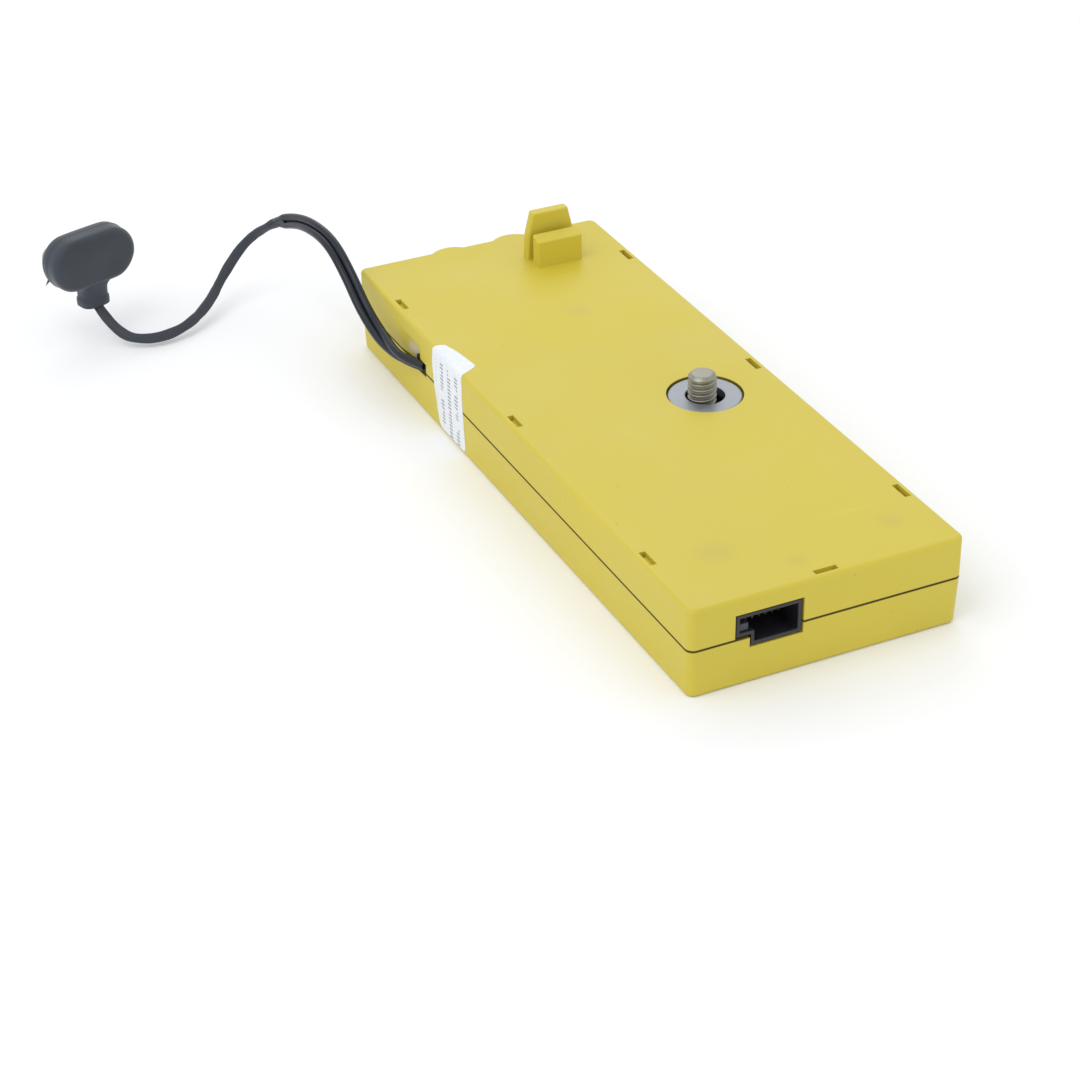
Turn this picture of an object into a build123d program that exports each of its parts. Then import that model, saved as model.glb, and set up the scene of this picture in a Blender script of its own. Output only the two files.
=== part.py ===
"""GNSS receiver module: a flat two-shell case with a captive mounting screw, a hook, a data socket
and a twin power lead that ends in a side-entry plug. Millimetres, +Z up.

Origin: middle of the case's flat face that it rests on. +Y runs to the hook end, +X to the screw side.
"""

import os
from math import cos, pi, radians, sin, tan

from build123d import *

os.makedirs("parts", exist_ok=True)

# Case
case_width = 62.0
case_length = 166.4
case_height = 20.4
parting_height = 11.2        # underside of the upper shell
parting_gap = 0.3            # open line between the shells
wall = 1.6
floor_thickness = 1.8
top_thickness = 1.8
corner_radius = 1.8
edge_radius = 0.8
draft_angle = 2.0            # the lower shell narrows downwards
tongue_thickness = 0.75      # lip of the lower shell inside the upper one
tongue_height = 1.0
slip_gap = 0.1               # between parts that slide together

# Snap arms and their windows
window_length = 5.2
window_width = 1.4
window_into_wall = 0.4       # how far a window reaches over the wall's thickness
side_window_places = (-62.2, -0.6, 61.3)
arm_thickness = 0.9
arm_recess = 1.0             # arm's tip below the top face
barb_height = 1.3
barb_depth = 0.35

# Captive screw, its bush and its pocket
bush_centre = (13.0, -8.0)
screw_offset = (-0.59, 0.27)     # the screw stands to one side of its roomy hole
flange_radius = 8.2
flange_thickness = 0.8
flange_sink = 0.3
flange_rim_gap = 0.3
bush_hole_radius = 4.35
bush_roof = 1.9
chamber_radius = 5.75
bush_wall = 1.15
bush_boss_height = 1.2
bush_boss_wall = 4.0
nut_height = 2.0
nut_flats = 19.0
base_thickness = 1.8
pocket_radius = 7.7
pocket_depth = 4.0
pocket_roof = 1.6
pocket_wall = 1.6
thread_radius = 3.175
thread_length = 4.45
tip_chamfer = 0.6
thread_lift = 0.1            # start of the thread above the top face
shank_radius = 2.5
shank_hole_radius = 3.5
head_radius = 6.5
head_gap = 0.3               # head to the pocket's roof
head_rise = 0.4              # head above the case's resting face
coin_slot_width = 1.6
coin_slot_depth = 1.5
ring_radius = 4.7
ring_thickness = 0.8
ring_groove_depth = 0.4
ring_play = 0.05
ring_height = 15.6

# Hook on the top face, centred on the screw
block_width = 11.6
block_depth = 3.3
block_front_height = 6.5
block_rear_height = 7.6
block_from_rear = 19.2
hook_gap = 1.95
plate_thickness = 2.6
plate_height = 11.6
plate_base_width = 12.6
plate_shoulder_height = 6.3
plate_shoulder_width = 11.8
plate_top_width = 9.2
hook_edge_radius = 0.4
hook_side_radius = 0.6

# Rear lugs
lug_places = (-8.0, 8.0)
lug_chord = 8.4
lug_rise = 1.6
lug_foot = 12.4

# Boards and what stands on them
board_top = 8.7
board_thickness = 1.6
board_side_gap = 4.4         # board's edge to the inner wall
board_front_gap = 1.2
board_rear = 14.0
board_screw_inset = 3.0
front_screw_setback = 22.4   # front screws behind the board's front edge, clear of the socket
left_screw_place = -8.0      # the left rear screw stands forward, clear of the header
antenna_rear_gap = 9.6
boss_radius = 2.6
antenna_board_size = 44.0
antenna_board_thickness = 1.0
antenna_screw_inset = 2.4
antenna_boss_radius = 2.2
patch_size = 35.0
patch_thickness = 4.0
foam_size = 25.0
screw_hole_radius = 1.1
screw_shank_radius = 0.95
screw_head_radius = 1.9
screw_head_height = 1.3
screw_length = 4.5
can_wall = 0.3

# Data socket in the front wall
socket_left = -20.9
socket_right = -5.6
socket_key_width = 3.3       # part of the socket that stays above the parting line
socket_top = 16.7
socket_floor = 8.5
socket_margin = 0.3          # between the socket and its cut-out
socket_wall = 0.9
socket_depth = 13.0
cavity_depth = 10.5
socket_sink = 0.2
pin_pitch = 1.5
pin_count = 6
pin_side = 0.64
pin_reach = 4.9

# Power lead: points chosen along its line, the first in the case wall, the last in the plug's neck
lead_diameter = 2.7
sleeve_wall = 0.2
lead_route = (
    (-30.2, 45.6, 11.7), (-33.6, 50.8, 11.9), (-34.4, 60.5, 12.5), (-35.0, 70.5, 16.0),
    (-36.0, 77.0, 22.8), (-36.5, 86.0, 27.3), (-37.5, 96.0, 27.6), (-38.5, 106.0, 25.2),
    (-41.0, 115.0, 21.0), (-46.0, 121.0, 15.0), (-52.5, 120.0, 8.0), (-59.5, 112.5, 4.2),
    (-68.0, 106.2, 2.5), (-77.2, 104.9, 2.0), (-84.2, 109.4, 3.2), (-86.2, 117.4, 8.6),
)
sleeve_start_run = 7         # the sleeve begins halfway along this run
inner_route = (
    (-28.6, 46.6, 11.7), (-25.4, 46.6, 11.7), (-23.4, 41.0, 11.7), (-23.2, 32.0, 11.7),
    (-22.6, 23.0, 11.7), (-20.0, 15.0, 11.7), (-20.0, 9.0, 11.7),
)
arc_share = 0.45             # share of the shorter run that an arc takes
lead_hole_length = 6.0
lead_hole_height = 3.4
grommet_sink = 0.3
grommet_inner = 28.6         # its inner face, from the case's middle
relief_length = 11.0
relief_depth = 1.1
relief_low = 9.6
relief_high = 16.6
clamp_size = (13.4, 5.0, 1.6)
clamp_side_gap = 0.2         # its end to the case's inner face
clamp_place = 21.4           # its middle along the case
clamp_screw_spacing = 9.4
clamp_post_radius = 1.9

# Plug
plug_neck_end = (-86.5, 118.5, 7.9)
plug_turn = 17.0             # degrees about +Z
plug_lean = 0.0              # degrees back from upright
plug_width = 23.4
plug_height = 13.5
plug_thickness = 8.0
plug_edge_radius = 2.6
neck_width = 7.7
neck_thickness = 5.8
neck_length = 5.9
collar_length = 2.4
collar_step = 0.35
stud_spacing = 12.7
stud_radius = 2.7
stud_height = 2.6
clip_radius = 3.7
clip_height = 1.6

# Seal
seal_thickness = 0.12
seal_front = 23.4
seal_width = 15.7
seal_foot = 0.9              # its lower edge above the resting face
seal_lap = 4.7               # how far it laps onto the top face

half_width = case_width / 2
half_length = case_length / 2
block_front = half_length - block_from_rear
lower_top = parting_height - parting_gap
draft_inset = lower_top * tan(radians(draft_angle))
inner_half_width = half_width - wall
inner_half_length = half_length - wall
inner_corner = max(corner_radius - wall, 0.4)
underside = case_height - top_thickness
board_front = board_front_gap - inner_half_length
board_width = 2 * (inner_half_width - board_side_gap)
board_screw_side = board_width / 2 - board_screw_inset
board_screw_places = (
    (-board_screw_side, board_front + front_screw_setback),
    (board_screw_side, board_front + front_screw_setback),
    (-board_screw_side, left_screw_place),
    (board_screw_side, board_rear - 5.0),
)
antenna_centre = (0.0, inner_half_length - antenna_rear_gap - antenna_board_size / 2)
screw_centre = (bush_centre[0] + screw_offset[0], bush_centre[1] + screw_offset[1])
pocket_top = pocket_depth + pocket_roof
flange_top = case_height - flange_sink
flange_seat = flange_top - flange_thickness
bush_radius = chamber_radius + bush_wall
bush_boss_low = underside - bush_boss_height
board_bottom = board_top - board_thickness
antenna_board_top = board_bottom + antenna_board_thickness
patch_bottom = board_bottom - patch_thickness
socket_key = socket_left + socket_key_width
socket_front = -half_length + socket_sink
lead_hole_centre = (lead_route[0][1] + 1.0, lead_route[0][2])
arm_tip = case_height - arm_recess
window_from_side = wall - window_into_wall
window_outer = half_width - window_from_side
window_middle = window_outer - window_width / 2
arm_outer = inner_half_width - 0.05
arm_middle = arm_outer - arm_thickness / 2
barb_top = underside + 0.2
window_floor = barb_top - barb_height - slip_gap
clamp_centre = (clamp_side_gap + clamp_size[0] / 2 - inner_half_width, clamp_place)
clamp_post_places = [
    (clamp_centre[0] + side * clamp_screw_spacing / 2, clamp_centre[1]) for side in (-1, 1)
]
clamp_bottom = inner_route[0][2] + lead_diameter / 2
antenna_screw_places = [
    (
        antenna_centre[0] + side * (antenna_board_size / 2 - antenna_screw_inset),
        antenna_centre[1] + end * (antenna_board_size / 2 - antenna_screw_inset),
    )
    for side in (-1, 1)
    for end in (-1, 1)
]


def arc_radii(points):
    """Each corner's arc: a share of its shorter run, over the tangent of half the turn."""
    corners = [Vector(*point) for point in points]
    radii = []
    for before, corner, after in zip(corners, corners[1:], corners[2:]):
        run_in = corner - before
        run_out = after - corner
        half_turn = radians(run_in.get_angle(run_out) / 2)
        radii.append(arc_share * min(run_in.length, run_out.length) / tan(half_turn))
    return radii


def midpoint(start, end):
    """The point halfway between two points."""
    return tuple((a + b) / 2 for a, b in zip(start, end))


# The snap windows as (middle x, middle y, turn): three down each long side and one at the front
window_places = [(side * window_middle, y, 90) for side in (-1, 1) for y in side_window_places]
window_places.append((0.0, -(half_length - window_from_side - window_width / 2), 0))
arm_places = [
    (side * arm_middle, y, 90 if side < 0 else -90) for side in (-1, 1) for y in side_window_places
]
arm_places.append((0.0, -(inner_half_length - 0.05 - arm_thickness / 2), 180))

# Lower shell: a drafted tray with the snap arms, the bosses and the screw's pocket
with BuildPart() as lower_shell:
    with BuildSketch(Plane.XY):
        RectangleRounded(case_width - 2 * draft_inset, case_length - 2 * draft_inset, corner_radius)
    with BuildSketch(Plane.XY.offset(lower_top)):
        RectangleRounded(case_width, case_length, corner_radius)
    loft()
    fillet(lower_shell.faces().sort_by(Axis.Z)[0].edges(), edge_radius)
    floor_inset = draft_inset * (1 - floor_thickness / lower_top)
    with BuildSketch(Plane.XY.offset(floor_thickness)):
        RectangleRounded(
            2 * (inner_half_width - floor_inset), 2 * (inner_half_length - floor_inset), inner_corner
        )
    with BuildSketch(Plane.XY.offset(lower_top)):
        RectangleRounded(2 * inner_half_width, 2 * inner_half_length, inner_corner)
    loft(mode=Mode.SUBTRACT)
    with BuildSketch(Plane.XY.offset(lower_top)):
        RectangleRounded(
            2 * (inner_half_width + tongue_thickness),
            2 * (inner_half_length + tongue_thickness),
            inner_corner + tongue_thickness,
        )
        RectangleRounded(
            2 * inner_half_width, 2 * inner_half_length, inner_corner, mode=Mode.SUBTRACT
        )
    extrude(amount=parting_gap + tongue_height)
    for x, y, turn in arm_places:
        with BuildSketch(Plane.XY.offset(lower_top / 2)):
            with Locations(Location((x, y), turn)):
                Rectangle(window_length - 1.0, arm_thickness)
        extrude(amount=arm_tip - lower_top / 2)
        barb = Plane(origin=(x, y, barb_top), x_dir=Vector(0, 0, -1), z_dir=Vector(
            cos(radians(turn)), sin(radians(turn)), 0))
        with BuildSketch(barb.offset(-(window_length - 1.0) / 2)):
            with BuildLine():
                Polyline(
                    (-0.5, arm_thickness / 2 - 0.1),
                    (barb_height, arm_thickness / 2 - 0.1),
                    (barb_height, arm_thickness / 2 + barb_depth),
                    (barb_height - 0.3, arm_thickness / 2 + barb_depth),
                    close=True,
                )
            make_face()
        extrude(amount=window_length - 1.0)
    with BuildSketch(Plane.XY.offset(floor_thickness)):
        with Locations(*board_screw_places):
            Circle(boss_radius)
        with Locations(*antenna_screw_places):
            Circle(antenna_boss_radius)
    extrude(amount=board_bottom - floor_thickness)
    with BuildSketch(Plane.XY.offset(floor_thickness)):
        with Locations(clamp_centre):
            Rectangle(clamp_screw_spacing, clamp_size[1] - 1.0)
    extrude(amount=clamp_bottom - lead_diameter - floor_thickness)
    with BuildSketch(Plane.XY.offset(floor_thickness)):
        with Locations(*clamp_post_places):
            Circle(clamp_post_radius)
    extrude(amount=clamp_bottom - floor_thickness)
    with BuildSketch(Plane.XY.offset(floor_thickness)):
        with Locations(bush_centre):
            Circle(pocket_radius + pocket_wall)
    extrude(amount=pocket_top - floor_thickness)
    with BuildSketch(Plane.XY):
        with Locations(bush_centre):
            Circle(pocket_radius)
    extrude(amount=pocket_depth, mode=Mode.SUBTRACT)
    with BuildSketch(Plane.XY):
        with Locations(bush_centre):
            Circle(shank_hole_radius)
    extrude(amount=pocket_top, mode=Mode.SUBTRACT)
    with BuildSketch(Plane.XY.offset(board_bottom)):
        with Locations(*board_screw_places, *antenna_screw_places):
            Circle(screw_shank_radius)
    extrude(amount=-screw_length, mode=Mode.SUBTRACT)
    with BuildSketch(Plane.XY.offset(clamp_bottom)):
        with Locations(*clamp_post_places):
            Circle(screw_shank_radius)
    extrude(amount=-screw_length, mode=Mode.SUBTRACT)
    with BuildSketch(Plane.XZ.offset(half_length - 2 * wall)):
        with Locations(((socket_key + socket_right) / 2, (socket_floor + case_height) / 2)):
            Rectangle(socket_right - socket_key, case_height - socket_floor)
    extrude(amount=4 * wall, mode=Mode.SUBTRACT)
    with BuildSketch(Plane.XZ.offset(half_length - 2 * wall)):
        with Locations(((socket_left + socket_key) / 2, (parting_height + case_height) / 2)):
            Rectangle(socket_key_width + slip_gap, case_height - parting_height + 2 * slip_gap)
    extrude(amount=4 * wall, mode=Mode.SUBTRACT)
    with BuildSketch(Plane.YZ.offset(-half_width - wall)):
        with Locations(lead_hole_centre):
            Rectangle(lead_hole_length, lead_hole_height)
    extrude(amount=3 * wall, mode=Mode.SUBTRACT)
lower_shell.part.label = "lower_shell"
export_step(lower_shell.part, "parts/lower_shell.step")

# Tamper seal: thin film down the side wall and over the top edge, let in flush with the top face
side_foot = -half_width + draft_inset * (1 - seal_foot / lower_top)
lap_end = -half_width + seal_lap
seal_top = case_height - seal_thickness
with BuildPart() as seal_label:
    with BuildSketch(Plane.XZ.offset(-seal_front)):
        with BuildLine():
            outer_low = Line((side_foot - seal_thickness, seal_foot), (-half_width - seal_thickness, lower_top))
            outer_side = Line(outer_low @ 1, (-half_width - seal_thickness, seal_top - edge_radius))
            outer_bend = RadiusArc(
                outer_side @ 1, (-half_width + edge_radius, case_height), edge_radius + seal_thickness
            )
            outer_top = Line(outer_bend @ 1, (lap_end, case_height))
            lap_edge = Line(outer_top @ 1, (lap_end, seal_top))
            inner_top = Line(lap_edge @ 1, (-half_width + edge_radius, seal_top))
            inner_bend = RadiusArc(inner_top @ 1, (-half_width, seal_top - edge_radius), -edge_radius)
            inner_side = Line(inner_bend @ 1, (-half_width, lower_top))
            inner_low = Line(inner_side @ 1, (side_foot, seal_foot))
            foot = Line(inner_low @ 1, outer_low @ 0)
        make_face()
    extrude(amount=-seal_width)
    with BuildSketch(Plane.XY.offset(seal_top - 0.05)):
        with BuildLine():
            Polyline(
                (-half_width + 0.9, seal_front - 1),
                (-half_width + 0.9, seal_front + 0.5),
                (-half_width + 4.2, seal_front + 2.3),
                (lap_end, seal_front + 3.2),
                (lap_end + 1, seal_front + 3.2),
                (lap_end + 1, seal_front - 1),
                close=True,
            )
        make_face()
        with BuildLine():
            Polyline(
                (-half_width + 1.5, seal_front + seal_width + 1),
                (-half_width + 1.5, seal_front + seal_width - 0.2),
                (-half_width + 2.7, seal_front + seal_width - 0.8),
                (-half_width + 3.3, seal_front + seal_width - 2.9),
                (-half_width + 4.0, seal_front + 9.6),
                (lap_end, seal_front + 3.4),
                (lap_end + 1, seal_front + 3.4),
                (lap_end + 1, seal_front + seal_width + 1),
                close=True,
            )
        make_face()
    extrude(amount=1, mode=Mode.SUBTRACT)
seal_label.part.label = "seal_label"
export_step(seal_label.part, "parts/seal_label.step")

# Upper shell: the lid, with the bush's seat, the snap windows, the hook and two rear lugs
block_rear = block_front + block_depth
plate_front = block_rear + hook_gap
with BuildPart() as upper_shell:
    with BuildSketch(Plane.XY.offset(parting_height)):
        RectangleRounded(case_width, case_length, corner_radius)
    extrude(amount=case_height - parting_height)
    with BuildSketch(Plane.XY.offset(lug_foot)):
        for x in lug_places:
            with BuildLine():
                SagittaArc((x + lug_chord / 2, half_length), (x - lug_chord / 2, half_length), -lug_rise)
                Polyline(
                    (x - lug_chord / 2, half_length),
                    (x - lug_chord / 2, inner_half_length),
                    (x + lug_chord / 2, inner_half_length),
                    (x + lug_chord / 2, half_length),
                )
            make_face()
    extrude(amount=case_height - lug_foot)
    fillet(upper_shell.faces().sort_by(Axis.Z)[-1].edges(), edge_radius)
    with BuildSketch(Plane.XY.offset(parting_height)):
        RectangleRounded(2 * inner_half_width, 2 * inner_half_length, inner_corner)
    extrude(amount=underside - parting_height, mode=Mode.SUBTRACT)
    with BuildSketch(Plane.XY.offset(parting_height)):
        RectangleRounded(
            2 * (inner_half_width + tongue_thickness + slip_gap),
            2 * (inner_half_length + tongue_thickness + slip_gap),
            inner_corner + tongue_thickness,
        )
    extrude(amount=tongue_height + slip_gap, mode=Mode.SUBTRACT)
    for x, y, turn in window_places:
        with BuildSketch(Plane.XY.offset(window_floor)):
            with Locations(Location((x, y), turn)):
                Rectangle(window_length, window_width)
        extrude(amount=case_height - window_floor, mode=Mode.SUBTRACT)
    with BuildSketch(Plane.XY.offset(bush_boss_low)):
        with Locations(bush_centre):
            Circle(bush_radius + bush_boss_wall)
    extrude(amount=bush_boss_height)
    with BuildSketch(Plane.XY.offset(flange_seat)):
        with Locations(bush_centre):
            Circle(flange_radius + flange_rim_gap)
    extrude(amount=case_height - flange_seat, mode=Mode.SUBTRACT)
    with BuildSketch(Plane.XY.offset(bush_boss_low)):
        with Locations(bush_centre):
            Circle(bush_radius)
    extrude(amount=case_height - bush_boss_low, mode=Mode.SUBTRACT)
    with BuildSketch(Plane.XZ.offset(half_length - 2 * wall)):
        with Locations(((socket_left + socket_right) / 2, (parting_height + socket_top) / 2)):
            Rectangle(socket_right - socket_left, socket_top - parting_height)
    extrude(amount=4 * wall, mode=Mode.SUBTRACT)
    with BuildSketch(Plane.YZ.offset(-half_width - wall)):
        with Locations(lead_hole_centre):
            Rectangle(lead_hole_length, lead_hole_height)
    extrude(amount=3 * wall, mode=Mode.SUBTRACT)
    relief_front = lead_hole_centre[0] + lead_hole_length / 2 - relief_length / 4
    with BuildSketch(Plane.XY.offset(relief_low)):
        with BuildLine():
            Polyline(
                (-half_width - 1, relief_front),
                (-half_width + relief_depth, relief_front),
                (-half_width + relief_depth * 0.7, relief_front + relief_length * 0.45),
                (-half_width, relief_front + relief_length),
                (-half_width - 1, relief_front + relief_length),
                close=True,
            )
        make_face()
    extrude(amount=relief_high - relief_low, mode=Mode.SUBTRACT)
    hook_seat = case_height - 0.3
    with BuildSketch(Plane.YZ.offset(bush_centre[0] - block_width / 2)):
        with BuildLine():
            Polyline(
                (block_front, hook_seat),
                (block_front, case_height + block_front_height),
                (block_rear, case_height + block_rear_height),
                (block_rear, hook_seat),
                close=True,
            )
        make_face()
    extrude(amount=block_width)
    with BuildSketch(Plane.XZ.offset(-plate_front)):
        with BuildLine():
            Polyline(
                (bush_centre[0] - plate_base_width / 2, hook_seat),
                (bush_centre[0] - plate_shoulder_width / 2, case_height + plate_shoulder_height),
                (bush_centre[0] - plate_top_width / 2, case_height + plate_height),
                (bush_centre[0] + plate_top_width / 2, case_height + plate_height),
                (bush_centre[0] + plate_shoulder_width / 2, case_height + plate_shoulder_height),
                (bush_centre[0] + plate_base_width / 2, hook_seat),
                close=True,
            )
        make_face()
    extrude(amount=-plate_thickness)
    hook_sides = upper_shell.edges().filter_by(
        lambda edge: edge.center().Y > block_front - 0.1
        and edge.center().Z > case_height
        and abs((edge @ 1 - edge @ 0).normalized().Z) > 0.8
    )
    fillet(hook_sides, hook_side_radius)
    hook_tops = upper_shell.faces().filter_by(
        lambda face: face.center().Z > case_height + block_front_height
        and abs(face.normal_at().Z) > 0.9
    )
    fillet(hook_tops.edges(), hook_edge_radius)
    add(seal_label.part, mode=Mode.SUBTRACT)
upper_shell.part.label = "upper_shell"
export_step(upper_shell.part, "parts/upper_shell.step")

# Flanged bush: turned from bar; its chamber is open at the bottom
with BuildPart() as flanged_bush:
    with BuildSketch(Plane.XY.offset(pocket_top)):
        with Locations(bush_centre):
            Circle(bush_radius)
    extrude(amount=flange_seat - pocket_top)
    with BuildSketch(Plane.XY.offset(flange_seat)):
        with Locations(bush_centre):
            Circle(flange_radius)
    extrude(amount=flange_thickness)
    chamfer(flanged_bush.faces().sort_by(Axis.Z)[-1].edges(), 0.25)
    with BuildSketch(Plane.XY.offset(pocket_top)):
        with Locations(bush_centre):
            Circle(chamber_radius)
    extrude(amount=flange_top - bush_roof - pocket_top, mode=Mode.SUBTRACT)
    with BuildSketch(Plane.XY.offset(pocket_top)):
        with Locations(bush_centre):
            Circle(bush_hole_radius)
    extrude(amount=flange_top - pocket_top, mode=Mode.SUBTRACT)
flanged_bush.part.label = "flanged_bush"
export_step(flanged_bush.part, "parts/flanged_bush.step")

# Ring nut: holds the bush to the lid from inside
with BuildPart() as bush_nut:
    with BuildSketch(Plane.XY.offset(bush_boss_low)):
        with Locations(bush_centre):
            RegularPolygon(nut_flats / 2, 6, major_radius=False)
            Circle(bush_radius, mode=Mode.SUBTRACT)
    extrude(amount=-nut_height)
bush_nut.part.label = "bush_nut"
export_step(bush_nut.part, "parts/bush_nut.step")

# Base collar: pressed into the bush's lower end, it stops the retaining ring
with BuildPart() as bush_base:
    with BuildSketch(Plane.XY.offset(pocket_top)):
        with Locations(bush_centre):
            Circle(chamber_radius)
            Circle(shank_hole_radius, mode=Mode.SUBTRACT)
    extrude(amount=base_thickness)
bush_base.part.label = "bush_base"
export_step(bush_base.part, "parts/bush_base.step")

# Captive screw: coin-slotted head, plain shank with a groove, threaded free end
thread_start = case_height + thread_lift
thread_top = thread_start + thread_length
groove_low = ring_height - ring_play
with BuildPart() as mounting_screw:
    with BuildSketch(Plane.XY.offset(head_rise)):
        with Locations(screw_centre):
            Circle(head_radius)
    extrude(amount=pocket_depth - head_gap - head_rise)
    chamfer(mounting_screw.edges().filter_by(GeomType.CIRCLE), 0.3)
    with BuildSketch(Plane.XY.offset(head_rise)):
        with Locations(screw_centre):
            Circle(shank_radius)
    extrude(amount=thread_start - head_rise)
    with BuildSketch(Plane.XY.offset(thread_start)):
        with Locations(screw_centre):
            Circle(thread_radius)
    extrude(amount=thread_length)
    with BuildSketch(Plane.XY.offset(thread_top)):
        with Locations(screw_centre):
            Circle(thread_radius)
    extrude(amount=tip_chamfer, taper=40)
    with BuildSketch(Plane.XY.offset(groove_low)):
        with Locations(screw_centre):
            Circle(shank_radius)
            Circle(shank_radius - ring_groove_depth, mode=Mode.SUBTRACT)
    extrude(amount=ring_thickness + 2 * ring_play, mode=Mode.SUBTRACT)
    with BuildSketch(Plane.XY.offset(head_rise)):
        with Locations(screw_centre):
            Rectangle(2 * head_radius, coin_slot_width)
    extrude(amount=coin_slot_depth, mode=Mode.SUBTRACT)
mounting_screw.part.label = "mounting_screw"
export_step(mounting_screw.part, "parts/mounting_screw.step")

# Retaining ring: sits in the screw's groove and keeps the screw in its bush
with BuildPart() as retaining_ring:
    with BuildSketch(Plane.XY.offset(ring_height)):
        with Locations(screw_centre):
            Circle(ring_radius)
            Circle(shank_radius - ring_groove_depth + ring_play, mode=Mode.SUBTRACT)
    extrude(amount=ring_thickness)
retaining_ring.part.label = "retaining_ring"
export_step(retaining_ring.part, "parts/retaining_ring.step")

# Main board: glass-fibre laminate, cut out round the bush
with BuildPart() as main_board:
    with BuildSketch(Plane.XY.offset(board_bottom)):
        with Locations((0, (board_front + board_rear) / 2)):
            RectangleRounded(board_width, board_rear - board_front, 1.0)
        with Locations(bush_centre):
            Circle(bush_radius + 1.0, mode=Mode.SUBTRACT)
        with Locations(*board_screw_places):
            Circle(screw_hole_radius, mode=Mode.SUBTRACT)
    extrude(amount=board_thickness)
main_board.part.label = "main_board"
export_step(main_board.part, "parts/main_board.step")

# Small self-tapping screws, one node for each row of identical ones
screw_sets = (
    ("board_screws", board_screw_places, board_top, board_thickness),
    ("antenna_screws", antenna_screw_places, antenna_board_top, antenna_board_thickness),
    ("clamp_screws", clamp_post_places, clamp_bottom + clamp_size[2], clamp_size[2]),
)
for screw_name, places, seat, grip in screw_sets:
    with BuildPart() as small_screws:
        with BuildSketch(Plane.XY.offset(seat)):
            with Locations(*places):
                Circle(screw_head_radius)
        extrude(amount=screw_head_height)
        chamfer(small_screws.faces().group_by(Axis.Z)[-1].edges(), 0.35)
        with BuildSketch(Plane.XY.offset(seat)):
            with Locations(*places):
                Circle(screw_shank_radius)
        extrude(amount=-(screw_length + grip - 0.5))
    small_screws.part.label = screw_name
    export_step(small_screws.part, f"parts/{screw_name}.step")

# Data socket: a moulded body whose cavity has one stepped corner
socket_outline = (
    (socket_left + socket_margin, parting_height + slip_gap),
    (socket_left + socket_margin, socket_top - socket_margin),
    (socket_right - socket_margin, socket_top - socket_margin),
    (socket_right - socket_margin, board_top),
    (socket_key + socket_margin, board_top),
    (socket_key + socket_margin, parting_height + slip_gap),
)
cavity_left = socket_left + socket_margin + socket_wall
cavity_right = socket_right - socket_margin - socket_wall
cavity_top = socket_top - socket_margin - socket_wall
cavity_bottom = board_top + socket_wall
cavity_key = socket_key + socket_margin + socket_wall
cavity_step = parting_height + slip_gap + socket_wall
cavity_back = socket_front + cavity_depth
with BuildPart() as data_connector:
    with BuildSketch(Plane.XZ.offset(-socket_front)):
        with BuildLine():
            Polyline(*socket_outline, close=True)
        make_face()
    extrude(amount=-socket_depth)
    with BuildSketch(Plane.XZ.offset(-socket_front)):
        with BuildLine():
            Polyline(
                (cavity_left, cavity_step),
                (cavity_left, cavity_top),
                (cavity_right, cavity_top),
                (cavity_right, cavity_bottom),
                (cavity_key, cavity_bottom),
                (cavity_key, cavity_step),
                close=True,
            )
        make_face()
    extrude(amount=-cavity_depth, mode=Mode.SUBTRACT)
data_connector.part.label = "data_connector"
export_step(data_connector.part, "parts/data_connector.step")

# Polarising insert: a grey block in the socket's stepped side
with BuildPart() as connector_key:
    with BuildSketch(Plane.XY.offset(cavity_step)):
        with Locations((cavity_left + 1.1, socket_front + 3.6)):
            RectangleRounded(2.2, 6.0, 0.3)
    extrude(amount=1.7)
connector_key.part.label = "connector_key"
export_step(connector_key.part, "parts/connector_key.step")

# Socket contacts: two rows of square pins on the cavity's back wall
cavity_middle = (cavity_key + cavity_right) / 2
with BuildPart() as connector_contacts:
    with BuildSketch(Plane.XZ.offset(-cavity_back)):
        with Locations((cavity_middle, (cavity_bottom + cavity_top) / 2)):
            with GridLocations(pin_pitch, 2 * pin_pitch, pin_count, 2):
                Rectangle(pin_side, pin_side)
    extrude(amount=pin_reach)
    chamfer(connector_contacts.faces().group_by(Axis.Y)[0].edges(), 0.15)
connector_contacts.part.label = "connector_contacts"
export_step(connector_contacts.part, "parts/connector_contacts.step")

# Receiver module and its tinned can
module_centre = (-9.0, board_front + 48.4)
module_size = (24.0, 18.0, 1.0)
module_top = board_top + module_size[2]
with BuildPart() as receiver_module:
    with BuildSketch(Plane.XY.offset(board_top)):
        with Locations(module_centre):
            RectangleRounded(module_size[0], module_size[1], 0.4)
    extrude(amount=module_size[2])
receiver_module.part.label = "receiver_module"
export_step(receiver_module.part, "parts/receiver_module.step")

# Shield cans: drawn from thin tinned sheet, open towards their boards
cans = (
    ("receiver_shield", module_centre, (22.0, 16.0), module_top, 2.6),
    ("amplifier_shield", antenna_centre, (16.0, 16.0), antenna_board_top, 2.4),
)
for can_name, centre, sides, seat, height in cans:
    with BuildPart() as can:
        with BuildSketch(Plane.XY.offset(seat)):
            with Locations(centre):
                RectangleRounded(sides[0], sides[1], 0.8)
        extrude(amount=height)
        fillet(can.faces().sort_by(Axis.Z)[-1].edges(), 0.4)
        with BuildSketch(Plane.XY.offset(seat)):
            with Locations(centre):
                RectangleRounded(sides[0] - 2 * can_wall, sides[1] - 2 * can_wall, 0.5)
        extrude(amount=height - can_wall, mode=Mode.SUBTRACT)
    can.part.label = can_name
    export_step(can.part, f"parts/{can_name}.step")

# Processor
with BuildPart() as processor:
    with BuildSketch(Plane.XY.offset(board_top)):
        with Locations((-10.0, board_front + 26.4)):
            RectangleRounded(12.0, 12.0, 0.4)
    extrude(amount=1.4)
processor.part.label = "processor"
export_step(processor.part, "parts/processor.step")

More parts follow.
